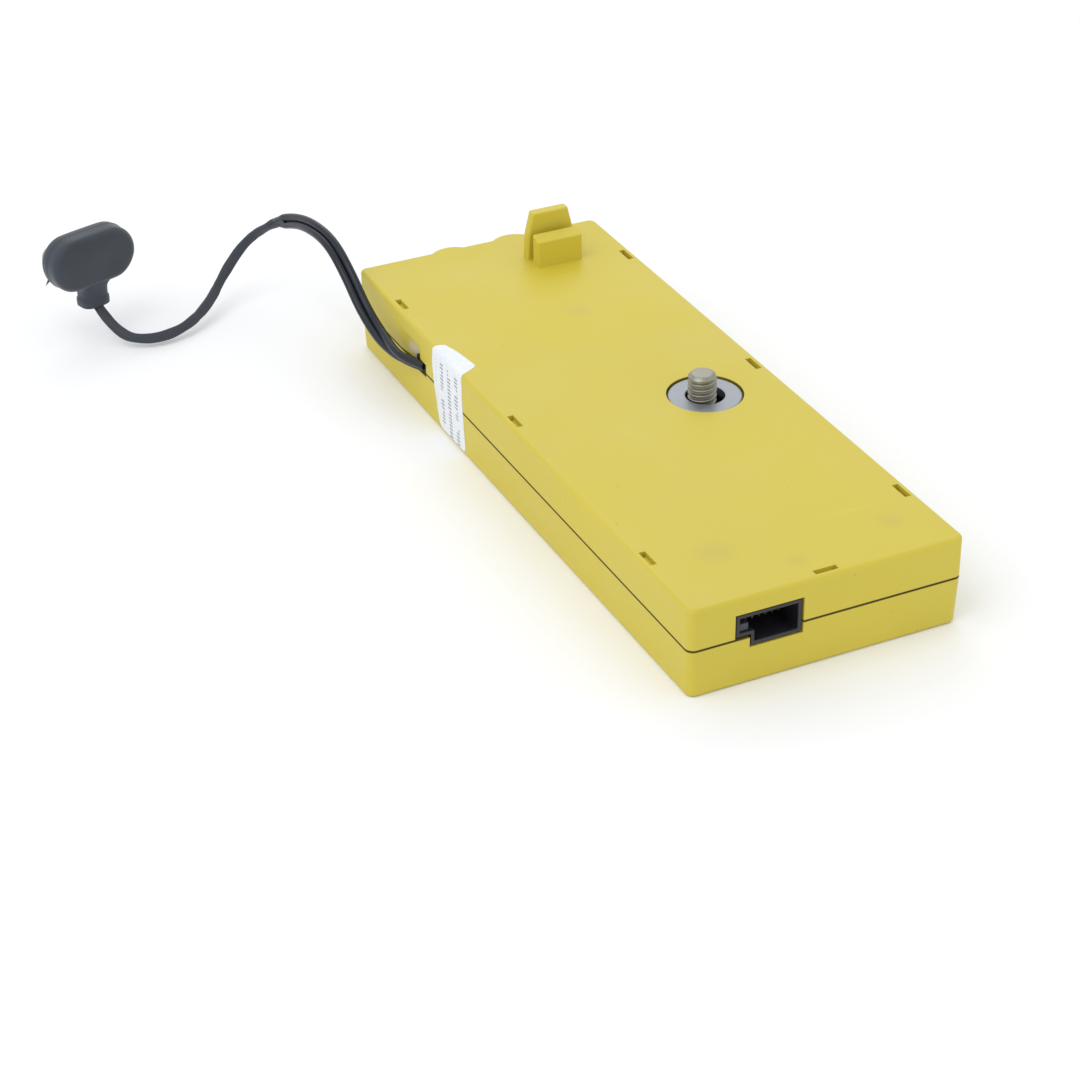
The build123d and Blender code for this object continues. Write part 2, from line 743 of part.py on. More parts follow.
# Power inductor
with BuildPart() as power_inductor:
    with BuildSketch(Plane.XY.offset(board_top)):
        with Locations((14.0, board_front + 48.4)):
            RectangleRounded(8.0, 8.0, 2.0)
    extrude(amount=4.2)
    chamfer(power_inductor.faces().sort_by(Axis.Z)[-1].edges(), 0.4)
power_inductor.part.label = "power_inductor"
export_step(power_inductor.part, "parts/power_inductor.step")

# Capacitors: four identical cans
with BuildPart() as capacitors:
    with BuildSketch(Plane.XY.offset(board_top)):
        with Locations((14.0, board_front + 35.4)):
            with GridLocations(7.0, 7.0, 2, 2):
                Circle(2.5)
    extrude(amount=5.6)
    fillet(capacitors.faces().group_by(Axis.Z)[-1].edges(), 0.4)
capacitors.part.label = "capacitors"
export_step(capacitors.part, "parts/capacitors.step")

# Crystal
with BuildPart() as crystal:
    with BuildSketch(Plane.XY.offset(board_top)):
        with Locations((-17.2, board_front + 61.4)):
            SlotOverall(11.0, 4.6)
    extrude(amount=3.2)
    fillet(crystal.faces().sort_by(Axis.Z)[-1].edges(), 0.4)
crystal.part.label = "crystal"
export_step(crystal.part, "parts/crystal.step")

# Coin cell in its open holder
cell_centre = (13.0, board_front + 12.4)
cell_radius = 6.25
cell_height = 2.0
holder_base = 0.8
with BuildPart() as cell_holder:
    with BuildSketch(Plane.XY.offset(board_top)):
        with Locations(cell_centre):
            RectangleRounded(2 * cell_radius + 2.4, 2 * cell_radius + 2.4, 1.5)
    extrude(amount=holder_base + cell_height)
    with BuildSketch(Plane.XY.offset(board_top + holder_base)):
        with Locations(cell_centre):
            Circle(cell_radius + slip_gap)
    extrude(amount=cell_height, mode=Mode.SUBTRACT)
cell_holder.part.label = "cell_holder"
export_step(cell_holder.part, "parts/cell_holder.step")

with BuildPart() as backup_cell:
    with BuildSketch(Plane.XY.offset(board_top + holder_base)):
        with Locations(cell_centre):
            Circle(cell_radius)
    extrude(amount=cell_height)
    fillet(backup_cell.faces().sort_by(Axis.Z)[-1].edges(), 0.3)
backup_cell.part.label = "backup_cell"
export_step(backup_cell.part, "parts/backup_cell.step")

# Antenna: ground board, ceramic patch on the sky side, and foam between patch and case
with BuildPart() as antenna_board:
    with BuildSketch(Plane.XY.offset(board_bottom)):
        with Locations(antenna_centre):
            RectangleRounded(antenna_board_size, antenna_board_size, 1.0)
        with Locations(*antenna_screw_places):
            Circle(screw_hole_radius, mode=Mode.SUBTRACT)
    extrude(amount=antenna_board_thickness)
antenna_board.part.label = "antenna_board"
export_step(antenna_board.part, "parts/antenna_board.step")

with BuildPart() as patch_antenna:
    with BuildSketch(Plane.XY.offset(patch_bottom)):
        with Locations(antenna_centre):
            RectangleRounded(patch_size, patch_size, 0.6)
    extrude(amount=patch_thickness)
patch_antenna.part.label = "patch_antenna"
export_step(patch_antenna.part, "parts/patch_antenna.step")

with BuildPart() as foam_pad:
    with BuildSketch(Plane.XY.offset(floor_thickness)):
        with Locations(antenna_centre):
            RectangleRounded(foam_size, foam_size, 2.0)
    extrude(amount=patch_bottom - floor_thickness)
foam_pad.part.label = "foam_pad"
export_step(foam_pad.part, "parts/foam_pad.step")

# Antenna coax and its two snap-on plugs
coax_diameter = 1.2
coax_plug_radius = 1.7
coax_plug_height = 1.5
coax_height = antenna_board_top + coax_plug_height / 2
antenna_plug = (11.0, antenna_centre[1] - 12.0)
receiver_plug = (-9.0, board_front + 60.9)
coax_route = (
    (antenna_plug[0], antenna_plug[1] - coax_plug_radius, coax_height),
    (10.6, 29.0, coax_height),
    (6.0, 20.0, coax_height + 2.4),
    (-1.0, 11.0, coax_height + 2.8),
    (-4.0, 0.0, coax_height + 2.4),
    (-3.4, -10.0, coax_height + 1.2),
    (receiver_plug[0] + 4.6, -18.4, board_top + coax_plug_height / 2),
    (receiver_plug[0] + coax_plug_radius, receiver_plug[1], board_top + coax_plug_height / 2),
)
with BuildPart() as antenna_coax:
    with BuildLine() as coax_line:
        FilletPolyline(*coax_route, radius=arc_radii(coax_route))
    with BuildSketch(Plane(origin=coax_route[0], z_dir=coax_line.line % 0)):
        Circle(coax_diameter / 2)
    sweep()
antenna_coax.part.label = "antenna_coax"

with BuildPart() as coax_plugs:
    for plug_place, seat in ((antenna_plug, antenna_board_top), (receiver_plug, board_top)):
        with BuildSketch(Plane.XY.offset(seat)):
            with Locations(plug_place):
                Circle(coax_plug_radius)
        extrude(amount=coax_plug_height)
    add(antenna_coax.part, mode=Mode.SUBTRACT)
coax_plugs.part.label = "coax_plugs"
export_step(antenna_coax.part, "parts/antenna_coax.step")
export_step(coax_plugs.part, "parts/coax_plugs.step")

# Header that the lead plugs into
with BuildPart() as power_header:
    with BuildSketch(Plane.XY.offset(board_top)):
        with Locations((inner_route[-1][0], inner_route[-1][1] - 3.0)):
            RectangleRounded(6.2, 6.0, 0.3)
    extrude(amount=6.0)
power_header.part.label = "power_header"
export_step(power_header.part, "parts/power_header.step")

# The lead's stretch inside the case
with BuildPart() as inner_lead:
    with BuildLine() as inner_line:
        FilletPolyline(*inner_route, radius=arc_radii(inner_route))
    with BuildSketch(Plane(origin=inner_route[0], z_dir=inner_line.line % 0)):
        Circle(lead_diameter / 2)
    sweep()
inner_lead.part.label = "inner_lead"
export_step(inner_lead.part, "parts/inner_lead.step")

# The free lead, from the case wall into the plug's neck
with BuildPart() as power_lead:
    with BuildLine() as lead_line:
        FilletPolyline(*lead_route, radius=arc_radii(lead_route))
    with BuildSketch(Plane(origin=lead_route[0], z_dir=lead_line.line % 0)):
        Circle(lead_diameter / 2)
    sweep()
power_lead.part.label = "power_lead"
export_step(power_lead.part, "parts/power_lead.step")

# Its sleeve, from the top of the arch into the neck
sleeve_route = (
    midpoint(lead_route[sleeve_start_run - 1], lead_route[sleeve_start_run]),
    *lead_route[sleeve_start_run:],
)
sleeve_radii = arc_radii(lead_route)[sleeve_start_run - 1:]
with BuildPart() as lead_sleeve:
    with BuildLine() as sleeve_line:
        FilletPolyline(*sleeve_route, radius=sleeve_radii)
    with BuildSketch(Plane(origin=sleeve_route[0], z_dir=sleeve_line.line % 0)):
        Circle(lead_diameter / 2 + sleeve_wall)
        Circle(lead_diameter / 2, mode=Mode.SUBTRACT)
    sweep()
lead_sleeve.part.label = "lead_sleeve"
export_step(lead_sleeve.part, "parts/lead_sleeve.step")

lead_length = sum(edge.length for edge in lead_line.edges())
sleeve_length = sum(edge.length for edge in sleeve_line.edges())
print("lead length", round(lead_length, 1), "sleeve length", round(sleeve_length, 1))
print("lead radii", [round(radius, 1) for radius in arc_radii(lead_route)])
print("inner lead radii", [round(radius, 1) for radius in arc_radii(inner_route)])
print("coax radii", [round(radius, 1) for radius in arc_radii(coax_route)])
lead_section = pi * lead_diameter**2 / 4
volume_share = power_lead.part.volume / (lead_section * lead_length)
print("lead volume over section times length", round(volume_share, 4))

# Grommet: fills the wall's slot round the lead
with BuildPart() as lead_grommet:
    with BuildSketch(Plane.YZ.offset(-half_width + grommet_sink)):
        with Locations(lead_hole_centre):
            Rectangle(lead_hole_length, lead_hole_height)
    extrude(amount=half_width - grommet_sink - grommet_inner)
    add(power_lead.part, mode=Mode.SUBTRACT)
lead_grommet.part.label = "lead_grommet"
export_step(lead_grommet.part, "parts/lead_grommet.step")

# Clamp bar over the inner lead
with BuildPart() as lead_clamp:
    with BuildSketch(Plane.XY.offset(clamp_bottom)):
        with Locations(clamp_centre):
            RectangleRounded(clamp_size[0], clamp_size[1], 1.2)
        with Locations(*clamp_post_places):
            Circle(screw_hole_radius, mode=Mode.SUBTRACT)
    extrude(amount=clamp_size[2])
lead_clamp.part.label = "lead_clamp"
export_step(lead_clamp.part, "parts/lead_clamp.step")

# Plug: a pillow-shaped moulding whose neck takes the lead; its contacts are on the far face
turn = radians(plug_turn)
lean = radians(plug_lean)
plug_side = Vector(cos(turn), sin(turn), 0)
plug_up = Vector(-sin(turn) * sin(lean), cos(turn) * sin(lean), cos(lean))
plug_face = plug_side.cross(plug_up)
neck_end = Vector(*plug_neck_end)
head_centre = neck_end + plug_up * (neck_length + plug_height / 2)
head_plane = Plane(origin=head_centre, x_dir=plug_side, z_dir=plug_face)
neck_plane = Plane(origin=neck_end, x_dir=plug_side, z_dir=plug_up)
with BuildPart() as plug_body:
    with BuildSketch(head_plane.offset(-plug_thickness / 2)):
        SlotOverall(plug_width, plug_height)
    extrude(amount=plug_thickness)
    fillet(plug_body.edges(), plug_edge_radius)
    with BuildSketch(neck_plane):
        RectangleRounded(neck_width, neck_thickness, 2.2)
    extrude(amount=neck_length + plug_height / 2)
    with BuildSketch(neck_plane):
        RectangleRounded(neck_width + 2 * collar_step, neck_thickness + 2 * collar_step, 2.4)
    extrude(amount=collar_length)
    add(power_lead.part, mode=Mode.SUBTRACT)
    add(lead_sleeve.part, mode=Mode.SUBTRACT)
plug_body.part.label = "plug_body"
export_step(plug_body.part, "parts/plug_body.step")

# Press-stud contacts: a solid stud and a split socket, standing on the plug's far face
with BuildPart() as plug_contacts:
    with BuildSketch(head_plane.offset(-plug_thickness / 2)):
        with Locations((-stud_spacing / 2, 0)):
            Circle(stud_radius)
    extrude(amount=-stud_height)
    with BuildSketch(head_plane.offset(-plug_thickness / 2)):
        with Locations((stud_spacing / 2, 0)):
            Circle(clip_radius)
            Circle(clip_radius - 0.6, mode=Mode.SUBTRACT)
    extrude(amount=-clip_height)
plug_contacts.part.label = "plug_contacts"
export_step(plug_contacts.part, "parts/plug_contacts.step")
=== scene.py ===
import math

import bmesh
import bpy
import numpy as np
from mathutils import Matrix, Vector


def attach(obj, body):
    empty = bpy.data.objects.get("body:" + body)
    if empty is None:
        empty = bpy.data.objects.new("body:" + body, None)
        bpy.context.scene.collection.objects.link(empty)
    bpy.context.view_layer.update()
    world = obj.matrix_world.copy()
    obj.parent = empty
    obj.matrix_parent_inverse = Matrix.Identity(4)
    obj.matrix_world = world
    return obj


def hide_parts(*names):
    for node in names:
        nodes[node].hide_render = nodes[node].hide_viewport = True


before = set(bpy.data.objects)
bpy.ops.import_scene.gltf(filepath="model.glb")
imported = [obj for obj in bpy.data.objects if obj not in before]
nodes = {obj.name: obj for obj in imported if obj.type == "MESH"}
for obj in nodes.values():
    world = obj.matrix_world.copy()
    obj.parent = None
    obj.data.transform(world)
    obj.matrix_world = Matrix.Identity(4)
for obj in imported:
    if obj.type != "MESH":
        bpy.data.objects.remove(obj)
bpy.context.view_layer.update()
mm = 0.001

# Camera: a long lens from the front left, looking down on the top face.
# It is turned about its own axis by less than a degree, as a hand-held one is.
eye = Vector((-0.23837, -0.46123, 0.30356))
heading = math.radians(-24.9939)
height = math.radians(31.7529)
tilt = math.radians(-0.8575)
back = Vector((
    math.sin(heading) * math.cos(height),
    -math.cos(heading) * math.cos(height),
    math.sin(height),
))
level = Vector((math.cos(heading), math.sin(heading), 0))
upright = back.cross(level)
lens = bpy.data.cameras.new("camera")
lens.sensor_width = 36
lens.lens = 90.34
lens.clip_start = 0.02
lens.clip_end = 20
camera = bpy.data.objects.new("camera", lens)
bpy.context.scene.collection.objects.link(camera)
camera.matrix_world = Matrix((
    level * math.cos(tilt) + upright * math.sin(tilt),
    upright * math.cos(tilt) - level * math.sin(tilt),
    back,
)).transposed().to_4x4()
camera.location = eye
bpy.context.scene.camera = camera

# Power lead: figure-of-eight twin wire, two stranded cores in glossy soft PVC with a groove
# between them. It leaves the wall's grommet, arches over and lies down to its plug.
lead_route = [
    (-30.2, 45.6, 11.7), (-33.6, 50.8, 11.9), (-34.4, 60.5, 12.5), (-35.0, 70.5, 16.0),
    (-36.0, 77.0, 22.8), (-36.5, 86.0, 27.3), (-37.5, 96.0, 27.6), (-38.5, 106.0, 25.2),
    (-41.0, 115.0, 21.0), (-46.0, 121.0, 15.0), (-52.5, 120.0, 8.0), (-59.5, 112.5, 4.2),
    (-68.0, 106.2, 2.5), (-77.2, 104.9, 2.0), (-84.2, 109.4, 3.2), (-86.2, 117.4, 8.6),
]
wire_radius = 0.95
wire_spacing = 1.8


def smooth_line(name, points):
    """Points along a NURBS curve of order 3 through the first and last of its control points."""
    curve = bpy.data.curves.new(name, "CURVE")
    curve.dimensions = "3D"
    curve.resolution_u = 14
    spline = curve.splines.new("NURBS")
    spline.points.add(len(points) - 1)
    control = np.c_[np.array(points) * mm, np.ones(len(points))]
    spline.points.foreach_set("co", control.ravel())
    spline.order_u = 3
    spline.use_endpoint_u = True
    guide = bpy.data.objects.new(name, curve)
    traced = bpy.data.meshes.new_from_object(guide)
    line = np.zeros(len(traced.vertices) * 3)
    traced.vertices.foreach_get("co", line)
    bpy.data.objects.remove(guide)
    bpy.data.curves.remove(curve)
    bpy.data.meshes.remove(traced)
    return line.reshape(-1, 3)


def shares_of(line):
    """Each point's distance along the line from its start, as a share of the whole."""
    steps = np.linalg.norm(np.diff(line, axis=0), axis=1)
    along = np.concatenate([[0.0], np.cumsum(steps)])
    return along / along[-1]


def frames_on(line, shares, turning):
    """Two unit directions across the line at every point: the wide one is the chosen direction
    there with its part along the line taken off, and the thin one is square to it and the line."""
    ahead = np.gradient(line, axis=0)
    ahead /= np.linalg.norm(ahead, axis=1)[:, None]
    chosen = np.array([direction for _, direction in turning])
    stations = [share for share, _ in turning]
    wide = np.stack([np.interp(shares, stations, chosen[:, k]) for k in range(3)], axis=1)
    wide -= ahead * (wide * ahead).sum(1)[:, None]
    wide /= np.linalg.norm(wide, axis=1)[:, None]
    return wide, np.cross(ahead, wide)


def skin(name, grids, sharp=40.0):
    """One mesh from grids of points, rows by columns by 3, in metres. Every cell is a face, rows
    that shrink to a point are merged, and the faces are turned outwards."""
    mesh = bpy.data.meshes.new(name)
    places = []
    faces = []
    first = 0
    for grid in grids:
        rows, columns = grid.shape[:2]
        index = np.arange(rows * columns).reshape(rows, columns) + first
        cells = np.stack([index[:-1, :-1], index[:-1, 1:], index[1:, 1:], index[1:, :-1]], axis=-1)
        places.append(grid.reshape(-1, 3))
        faces.append(cells.reshape(-1, 4))
        first += rows * columns
    mesh.from_pydata(np.concatenate(places).tolist(), [], np.concatenate(faces).tolist())
    tidy = bmesh.new()
    tidy.from_mesh(mesh)
    bmesh.ops.remove_doubles(tidy, verts=tidy.verts, dist=1e-7)
    bmesh.ops.dissolve_degenerate(tidy, edges=tidy.edges, dist=1e-7)
    bmesh.ops.recalc_face_normals(tidy, faces=tidy.faces)
    tidy.to_mesh(mesh)
    tidy.free()
    mesh.shade_smooth()
    mesh.set_sharp_from_angle(angle=math.radians(sharp))
    piece = bpy.data.objects.new(name, mesh)
    bpy.context.scene.collection.objects.link(piece)
    return piece


def tube(line, wide, thin, across, ends=True):
    """A closed section carried along a line: point + wide times x + thin times y, in metres. The
    first and last rows shrink to the line's own ends, which closes the tube."""
    x = across[..., 0, None]
    y = across[..., 1, None]
    rings = line[:, None, :] + wide[:, None, :] * x + thin[:, None, :] * y
    if not ends:
        return rings
    start = np.broadcast_to(line[:1, None, :], rings[:1].shape)
    finish = np.broadcast_to(line[-1:, None, :], rings[-1:].shape)
    return np.concatenate([start, rings, finish])


def linear(code):
    """A colour's linear values from its sRGB hex code, with an alpha of one."""
    values = np.array([int(code[k:k + 2], 16) / 255 for k in (1, 3, 5)])
    values = np.where(values <= 0.04045, values / 12.92, ((values + 0.055) / 1.055) ** 2.4)
    return (*values.tolist(), 1.0)


def node(tree, kind, settings=None, links=None):
    """Adds one shader node. A setting is a socket's value, the node's own property, or a colour
    ramp's two stops as (position, hex code). A link joins an input to another node's output."""
    made = tree.nodes.new("ShaderNode" + kind)
    for key, value in (settings or {}).items():
        if key == "stops":
            for element, (position, code) in zip(made.color_ramp.elements, value):
                element.position = position
                element.color = linear(code)
        elif isinstance(key, str) and hasattr(made, key) and key not in made.inputs:
            setattr(made, key, value)
        else:
            made.inputs[key].default_value = linear(value) if isinstance(value, str) else value
    for key, source in (links or {}).items():
        tree.links.new(source, made.inputs[key])
    return made


def material(name):
    """An empty node material, its tree, and the piece's own coordinates in metres."""
    made = bpy.data.materials.new(name)
    made.use_nodes = True
    made.node_tree.nodes.clear()
    tree = made.node_tree
    place = node(tree, "TexCoord").outputs["Object"]
    return made, tree, place


def shade(tree, settings, links):
    """The principled shader with its constants on its own sockets, joined to the output."""
    shader = node(tree, "BsdfPrincipled", settings, links)
    node(tree, "OutputMaterial", links={"Surface": shader.outputs["BSDF"]})


def clouded(tree, cloud, dark, light, smooth, rough):
    """The colour and the roughness of a finish that both follow one cloud of noise."""
    tint = node(tree, "ValToRGB", {"stops": [(0.3, dark), (0.7, light)]}, {"Fac": cloud})
    dull = node(tree, "MapRange",
                {"From Min": 0.3, "From Max": 0.7, "To Min": smooth, "To Max": rough},
                {"Value": cloud})
    return tint.outputs["Color"], dull.outputs["Result"]


lead_line = smooth_line("lead_line", lead_route)
lead_shares = shares_of(lead_line)
# Which way the flat of the twin faces at a share of its length: it leaves the wall on edge,
# turns flat over the arch, twists once inside the sleeve and enters the plug level.
lead_turning = [
    (0.00, (-0.60, -0.35, 0.70)), (0.05, (-0.55, -0.20, 0.80)), (0.09, (0.05, -0.10, 0.95)),
    (0.13, (0.72, -0.05, 0.65)), (0.18, (0.91, -0.15, 0.38)),
    (0.25, (0.92, -0.16, 0.35)), (0.33, (0.86, -0.06, 0.51)),
    (0.40, (0.60, 0.17, 0.78)), (0.46, (0.24, 0.36, 0.90)), (0.50, (-0.20, 0.25, 0.88)),
    (0.545, (-0.85, -0.12, 0.45)), (0.60, (-0.60, 0.45, 0.65)), (0.66, (-0.71, 0.49, 0.51)),
    (0.74, (-0.60, 0.40, 0.66)), (0.81, (-0.32, 0.52, 0.79)), (0.88, (0.13, 0.44, 0.89)),
    (0.94, (0.66, 0.22, 0.70)), (1.00, (0.96, 0.17, 0.20)),
]
lead_wide, lead_thin = frames_on(lead_line, lead_shares, lead_turning)

groove = math.acos(wire_spacing / 2 / wire_radius)
turn = np.linspace(-math.pi + groove, math.pi - groove, 25)
right_wire = np.stack([wire_spacing / 2 + wire_radius * np.cos(turn), wire_radius * np.sin(turn)], 1)
twin_section = np.concatenate([right_wire, -right_wire, right_wire[:1]]) * mm
# Past the sleeve's start the twin is drawn narrower, so that it stays inside the sleeve
drawn_down = 0.56
drawn_in = np.interp(lead_shares, [0.49, 0.52], [1.0, drawn_down])
twin_across = twin_section[None] * drawn_in[:, None, None]
power_lead = skin("twin_power_lead", [tube(lead_line, lead_wide, lead_thin, twin_across)], 75)

# Extruded soft PVC: a smooth, wet-looking dark blue-grey skin with slow waves in its gloss.
made, tree, place = material("extruded_pvc_dark")
slow = node(tree, "TexNoise", {"Scale": 160.0, "Detail": 2.0}, {"Vector": place}).outputs["Fac"]
fine = node(tree, "TexNoise", {"Scale": 2600.0, "Detail": 2.0}, {"Vector": place}).outputs["Fac"]
tint, dull = clouded(tree, slow, "#171B23", "#20252F", 0.24, 0.38)
lumps = node(tree, "Bump", {"Strength": 0.25, "Distance": 0.00006}, {"Height": slow})
grain = node(tree, "Bump", {"Strength": 0.08, "Distance": 0.00002},
             {"Height": fine, "Normal": lumps.outputs["Normal"]})
shade(tree, {"IOR": 1.50, "Specular IOR Level": 0.34, "Coat Weight": 0.10, "Coat Roughness": 0.12},
      {"Base Color": tint, "Roughness": dull, "Normal": grain.outputs["Normal"]})
power_lead.data.materials.append(made)
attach(power_lead, "root")
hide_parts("power_lead")

# Lead sleeve: thin heat-shrunk tube that has drawn down flat over the twin, matte, with its
# end cut on the slant. It runs from the arch to the plug and creases where it bends.
sleeve_start = 0.468
sleeve_half_width = 1.22
sleeve_half_thickness = 0.70
sleeve_line = lead_line[lead_shares >= sleeve_start]
sleeve_shares = lead_shares[lead_shares >= sleeve_start]
sleeve_wide, sleeve_thin = frames_on(sleeve_line, sleeve_shares, lead_turning)
around = np.linspace(0, 2 * math.pi, 49)
flatness = 2 / 2.5
rounded = np.stack([
    np.sign(np.cos(around)) * np.abs(np.cos(around)) ** flatness * sleeve_half_width,
    np.sign(np.sin(around)) * np.abs(np.sin(around)) ** flatness * sleeve_half_thickness,
], 1)
run = sleeve_shares[:, None]
# Slow swells along the sleeve, a crease at each bend, a ripple round it and a flared mouth
swell = 1 + 0.035 * np.sin(run * 61) + 0.025 * np.sin(run * 143 + 1.3)
for crease in (0.505, 0.575, 0.700, 0.775):
    swell = swell - 0.07 * np.exp(-((run - crease) / 0.006) ** 2)
ripple = 0.05 * np.sin(around[None, :] * 2 + run * 90)
flare = 1 + 0.30 * np.exp(-(run - sleeve_start) / 0.016)
sleeve_across = rounded[None] * (swell * flare + 0.5 * ripple)[..., None] * mm
outside = tube(sleeve_line, sleeve_wide, sleeve_thin, sleeve_across, ends=False)
# The end was cut on the slant: its upper side starts up to 4 mm further along the lead
ahead = (sleeve_line[4] - sleeve_line[0]) / np.linalg.norm(sleeve_line[4] - sleeve_line[0])
cut_slant = 4.0 * mm
slant = cut_slant * (rounded[:, 0] / sleeve_half_width + 1) / 2
fade = np.clip(1 - np.arange(len(sleeve_line)) / 14, 0, 1)[:, None]
outside = outside + fade[..., None] * slant[None, :, None] * ahead
bore_share, bore_depth = 0.84, 1.2 * mm
bore = sleeve_across[:1] * bore_share
mouth = tube(sleeve_line[:1], sleeve_wide[:1], sleeve_thin[:1], bore, ends=False)
mouth = mouth + slant[None, :, None] * ahead
throat = mouth + bore_depth * ahead
last = np.broadcast_to(sleeve_line[-1:, None, :], outside[-1:].shape)
inmost = np.broadcast_to(throat.mean(1, keepdims=True), outside[-1:].shape)
lead_sleeve = skin(
    "shrunk_lead_sleeve", [np.concatenate([inmost, throat, mouth, outside, last])], 50
)

# Heat-shrunk polyolefin: dull charcoal with a faint drawn grain and a slight sheen.
made, tree, place = material("shrunk_polyolefin_matte")
cloud = node(tree, "TexNoise", {"Scale": 220.0, "Detail": 3.0}, {"Vector": place}).outputs["Fac"]
fine = node(tree, "TexNoise", {"Scale": 3400.0, "Detail": 3.0}, {"Vector": place}).outputs["Fac"]
tint, dull = clouded(tree, cloud, "#2B2F37", "#353A44", 0.55, 0.72)
grain = node(tree, "Bump", {"Strength": 0.3, "Distance": 0.00004}, {"Height": fine})
shade(tree, {"IOR": 1.5, "Sheen Weight": 0.12, "Sheen Roughness": 0.5},
      {"Base Color": tint, "Roughness": dull, "Normal": grain.outputs["Normal"]})
lead_sleeve.data.materials.append(made)
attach(lead_sleeve, "root")
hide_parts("lead_sleeve")

# Plug: a soft vinyl moulding like a battery clip's, a pillow with a flat face and rounded rims.
# Its neck carries a collar round the sleeve, and the mould left a line and a spike of flash.
plug_turn = math.radians(17.0)
plug_side = np.array([math.cos(plug_turn), math.sin(plug_turn), 0.0])
plug_up = np.array([0.0, 0.0, 1.0])
plug_face = np.cross(plug_side, plug_up)
neck_end = np.array([-86.5, 118.5, 7.9])
neck_length = 5.9
head_width = 23.4
head_height = 13.5
head_thickness = 8.0
rim_radius = 1.9
face_crown = 0.28
rim_step = 0.10
head_centre = neck_end + plug_up * (neck_length + head_height / 2)


def placed(x, y, z, middle):
    """Points at x along the plug's width, y up it and z out of its face, from a middle in mm."""
    return (
        middle + x[..., None] * plug_side + y[..., None] * plug_up + z[..., None] * plug_face
    ) * mm


def stadium(turn_angle, inset):
    """A stadium of the head's outline, inset all round: two half circles on a short middle run."""
    radius = head_height / 2 - inset
    run_half = (head_width - head_height) / 2
    x = radius * np.cos(turn_angle) + run_half * np.tanh(np.cos(turn_angle) * 9)
    return x, radius * np.sin(turn_angle)


angle = np.linspace(0, 2 * math.pi, 121)
quarter = np.linspace(0, math.pi / 2, 11)
# The head's profile as (inset, height): crowned face, rounded rim, mould line, rim and back
flat = np.linspace(1, 0, 12)
face_inset = rim_radius + (head_height / 2 - rim_radius) * flat
face_rise = head_thickness / 2 - face_crown * (1 - flat) ** 2
rim_inset = rim_radius * (1 - np.sin(quarter))
rim_rise = head_thickness / 2 - face_crown - rim_radius * (1 - np.cos(quarter))
side_rise = np.linspace(rim_rise[-1], -rim_rise[-1], 9)
side_inset = rim_step - 0.16 * np.exp(-((side_rise + 0.9) / 0.16) ** 2)
profile = np.concatenate([
    np.stack([face_inset, face_rise], 1),
    np.stack([rim_inset + rim_step, rim_rise], 1)[1:],
    np.stack([side_inset, side_rise], 1)[1:-1],
    np.stack([rim_inset + rim_step, -rim_rise], 1)[::-1],
    np.stack([face_inset, -face_rise], 1)[::-1][1:],
])
inset = np.minimum(profile[:, 0, None], head_height / 2)
x, y = stadium(angle[None, :], inset)
# The moulding has drawn in a little at three places round its outline and dished on both faces
drawn = np.minimum(1 + 0.012 * np.sin(angle * 3 + 0.7), 1.0)[None, :]
dent = 0.16 * np.exp(-((x - 3) ** 2 + (y + 1) ** 2) / 16)
z = profile[:, 1, None] - dent * np.sign(profile[:, 1, None])
head = placed(x * drawn, y, z, head_centre)

# The neck's sections from its end up into the head: collar, crease, waist and a flare
levels = np.array([0.35, 0.35, 0.42, 0.45, 1.4, 2.2, 2.45, 2.6, 3.4, 4.6, 5.3, 6.0, 7.2, 7.2])
widths = np.array([0.0, 3.1, 3.5, 3.75, 3.78, 3.74, 3.58, 3.5, 3.5, 3.56, 3.8, 4.5, 4.9, 0.0])
depths = np.array([0.0, 2.5, 2.9, 3.1, 3.12, 3.08, 2.96, 2.86, 2.86, 2.9, 3.0, 3.2, 3.3, 0.0])
square = 2 / 3.0
cos, sin = np.cos(angle), np.sin(angle)
box_x = np.sign(cos) * np.abs(cos) ** square
box_z = np.sign(sin) * np.abs(sin) ** square
neck = placed(
    widths[:, None] * box_x[None, :],
    levels[:, None],
    depths[:, None] * box_z[None, :],
    neck_end,
)
# A spike of flash at the lower left of the back rim, a cone that runs to a point
spike_ring = np.linspace(0, 2 * math.pi, 13)
reach = np.array([0.0, 0.0, 0.6, 1.3, 1.9])
girth = np.array([0.0, 0.42, 0.30, 0.14, 0.0])
spike = placed(
    -9.9 - reach[:, None] * 0.62 + girth[:, None] * np.cos(spike_ring) * 0.6,
    -3.7 - reach[:, None] * 0.78 + girth[:, None] * np.sin(spike_ring) * 0.6,
    -2.6 - 0.1 * reach[:, None] + girth[:, None] * np.cos(spike_ring) * 0.7,
    head_centre,
)
plug_body = skin("vinyl_plug", [head, neck, spike], 62)

# Soft vinyl, moulded: charcoal with a blue cast and a dull bloom.
made, tree, place = material("moulded_vinyl_charcoal")
cloud = node(tree, "TexNoise", {"Scale": 130.0, "Detail": 4.0}, {"Vector": place}).outputs["Fac"]
fine = node(tree, "TexNoise", {"Scale": 2200.0, "Detail": 3.0}, {"Vector": place}).outputs["Fac"]
tint = node(tree, "ValToRGB", {"stops": [(0.3, "#272D36"), (0.72, "#343C47")]},
            {"Fac": cloud}).outputs["Color"]
slow = node(tree, "Bump", {"Strength": 0.2, "Distance": 0.00025}, {"Height": cloud})
grain = node(tree, "Bump", {"Strength": 0.35, "Distance": 0.00005},
             {"Height": fine, "Normal": slow.outputs["Normal"]})
dull = node(tree, "MapRange", {"From Min": 0.3, "From Max": 0.7, "To Min": 0.48, "To Max": 0.66},
            {"Value": cloud}).outputs["Result"]
shade(tree, {"IOR": 1.5, "Sheen Weight": 0.25, "Sheen Roughness": 0.45},
      {"Base Color": tint, "Roughness": dull, "Normal": grain.outputs["Normal"]})
plug_body.data.materials.append(made)
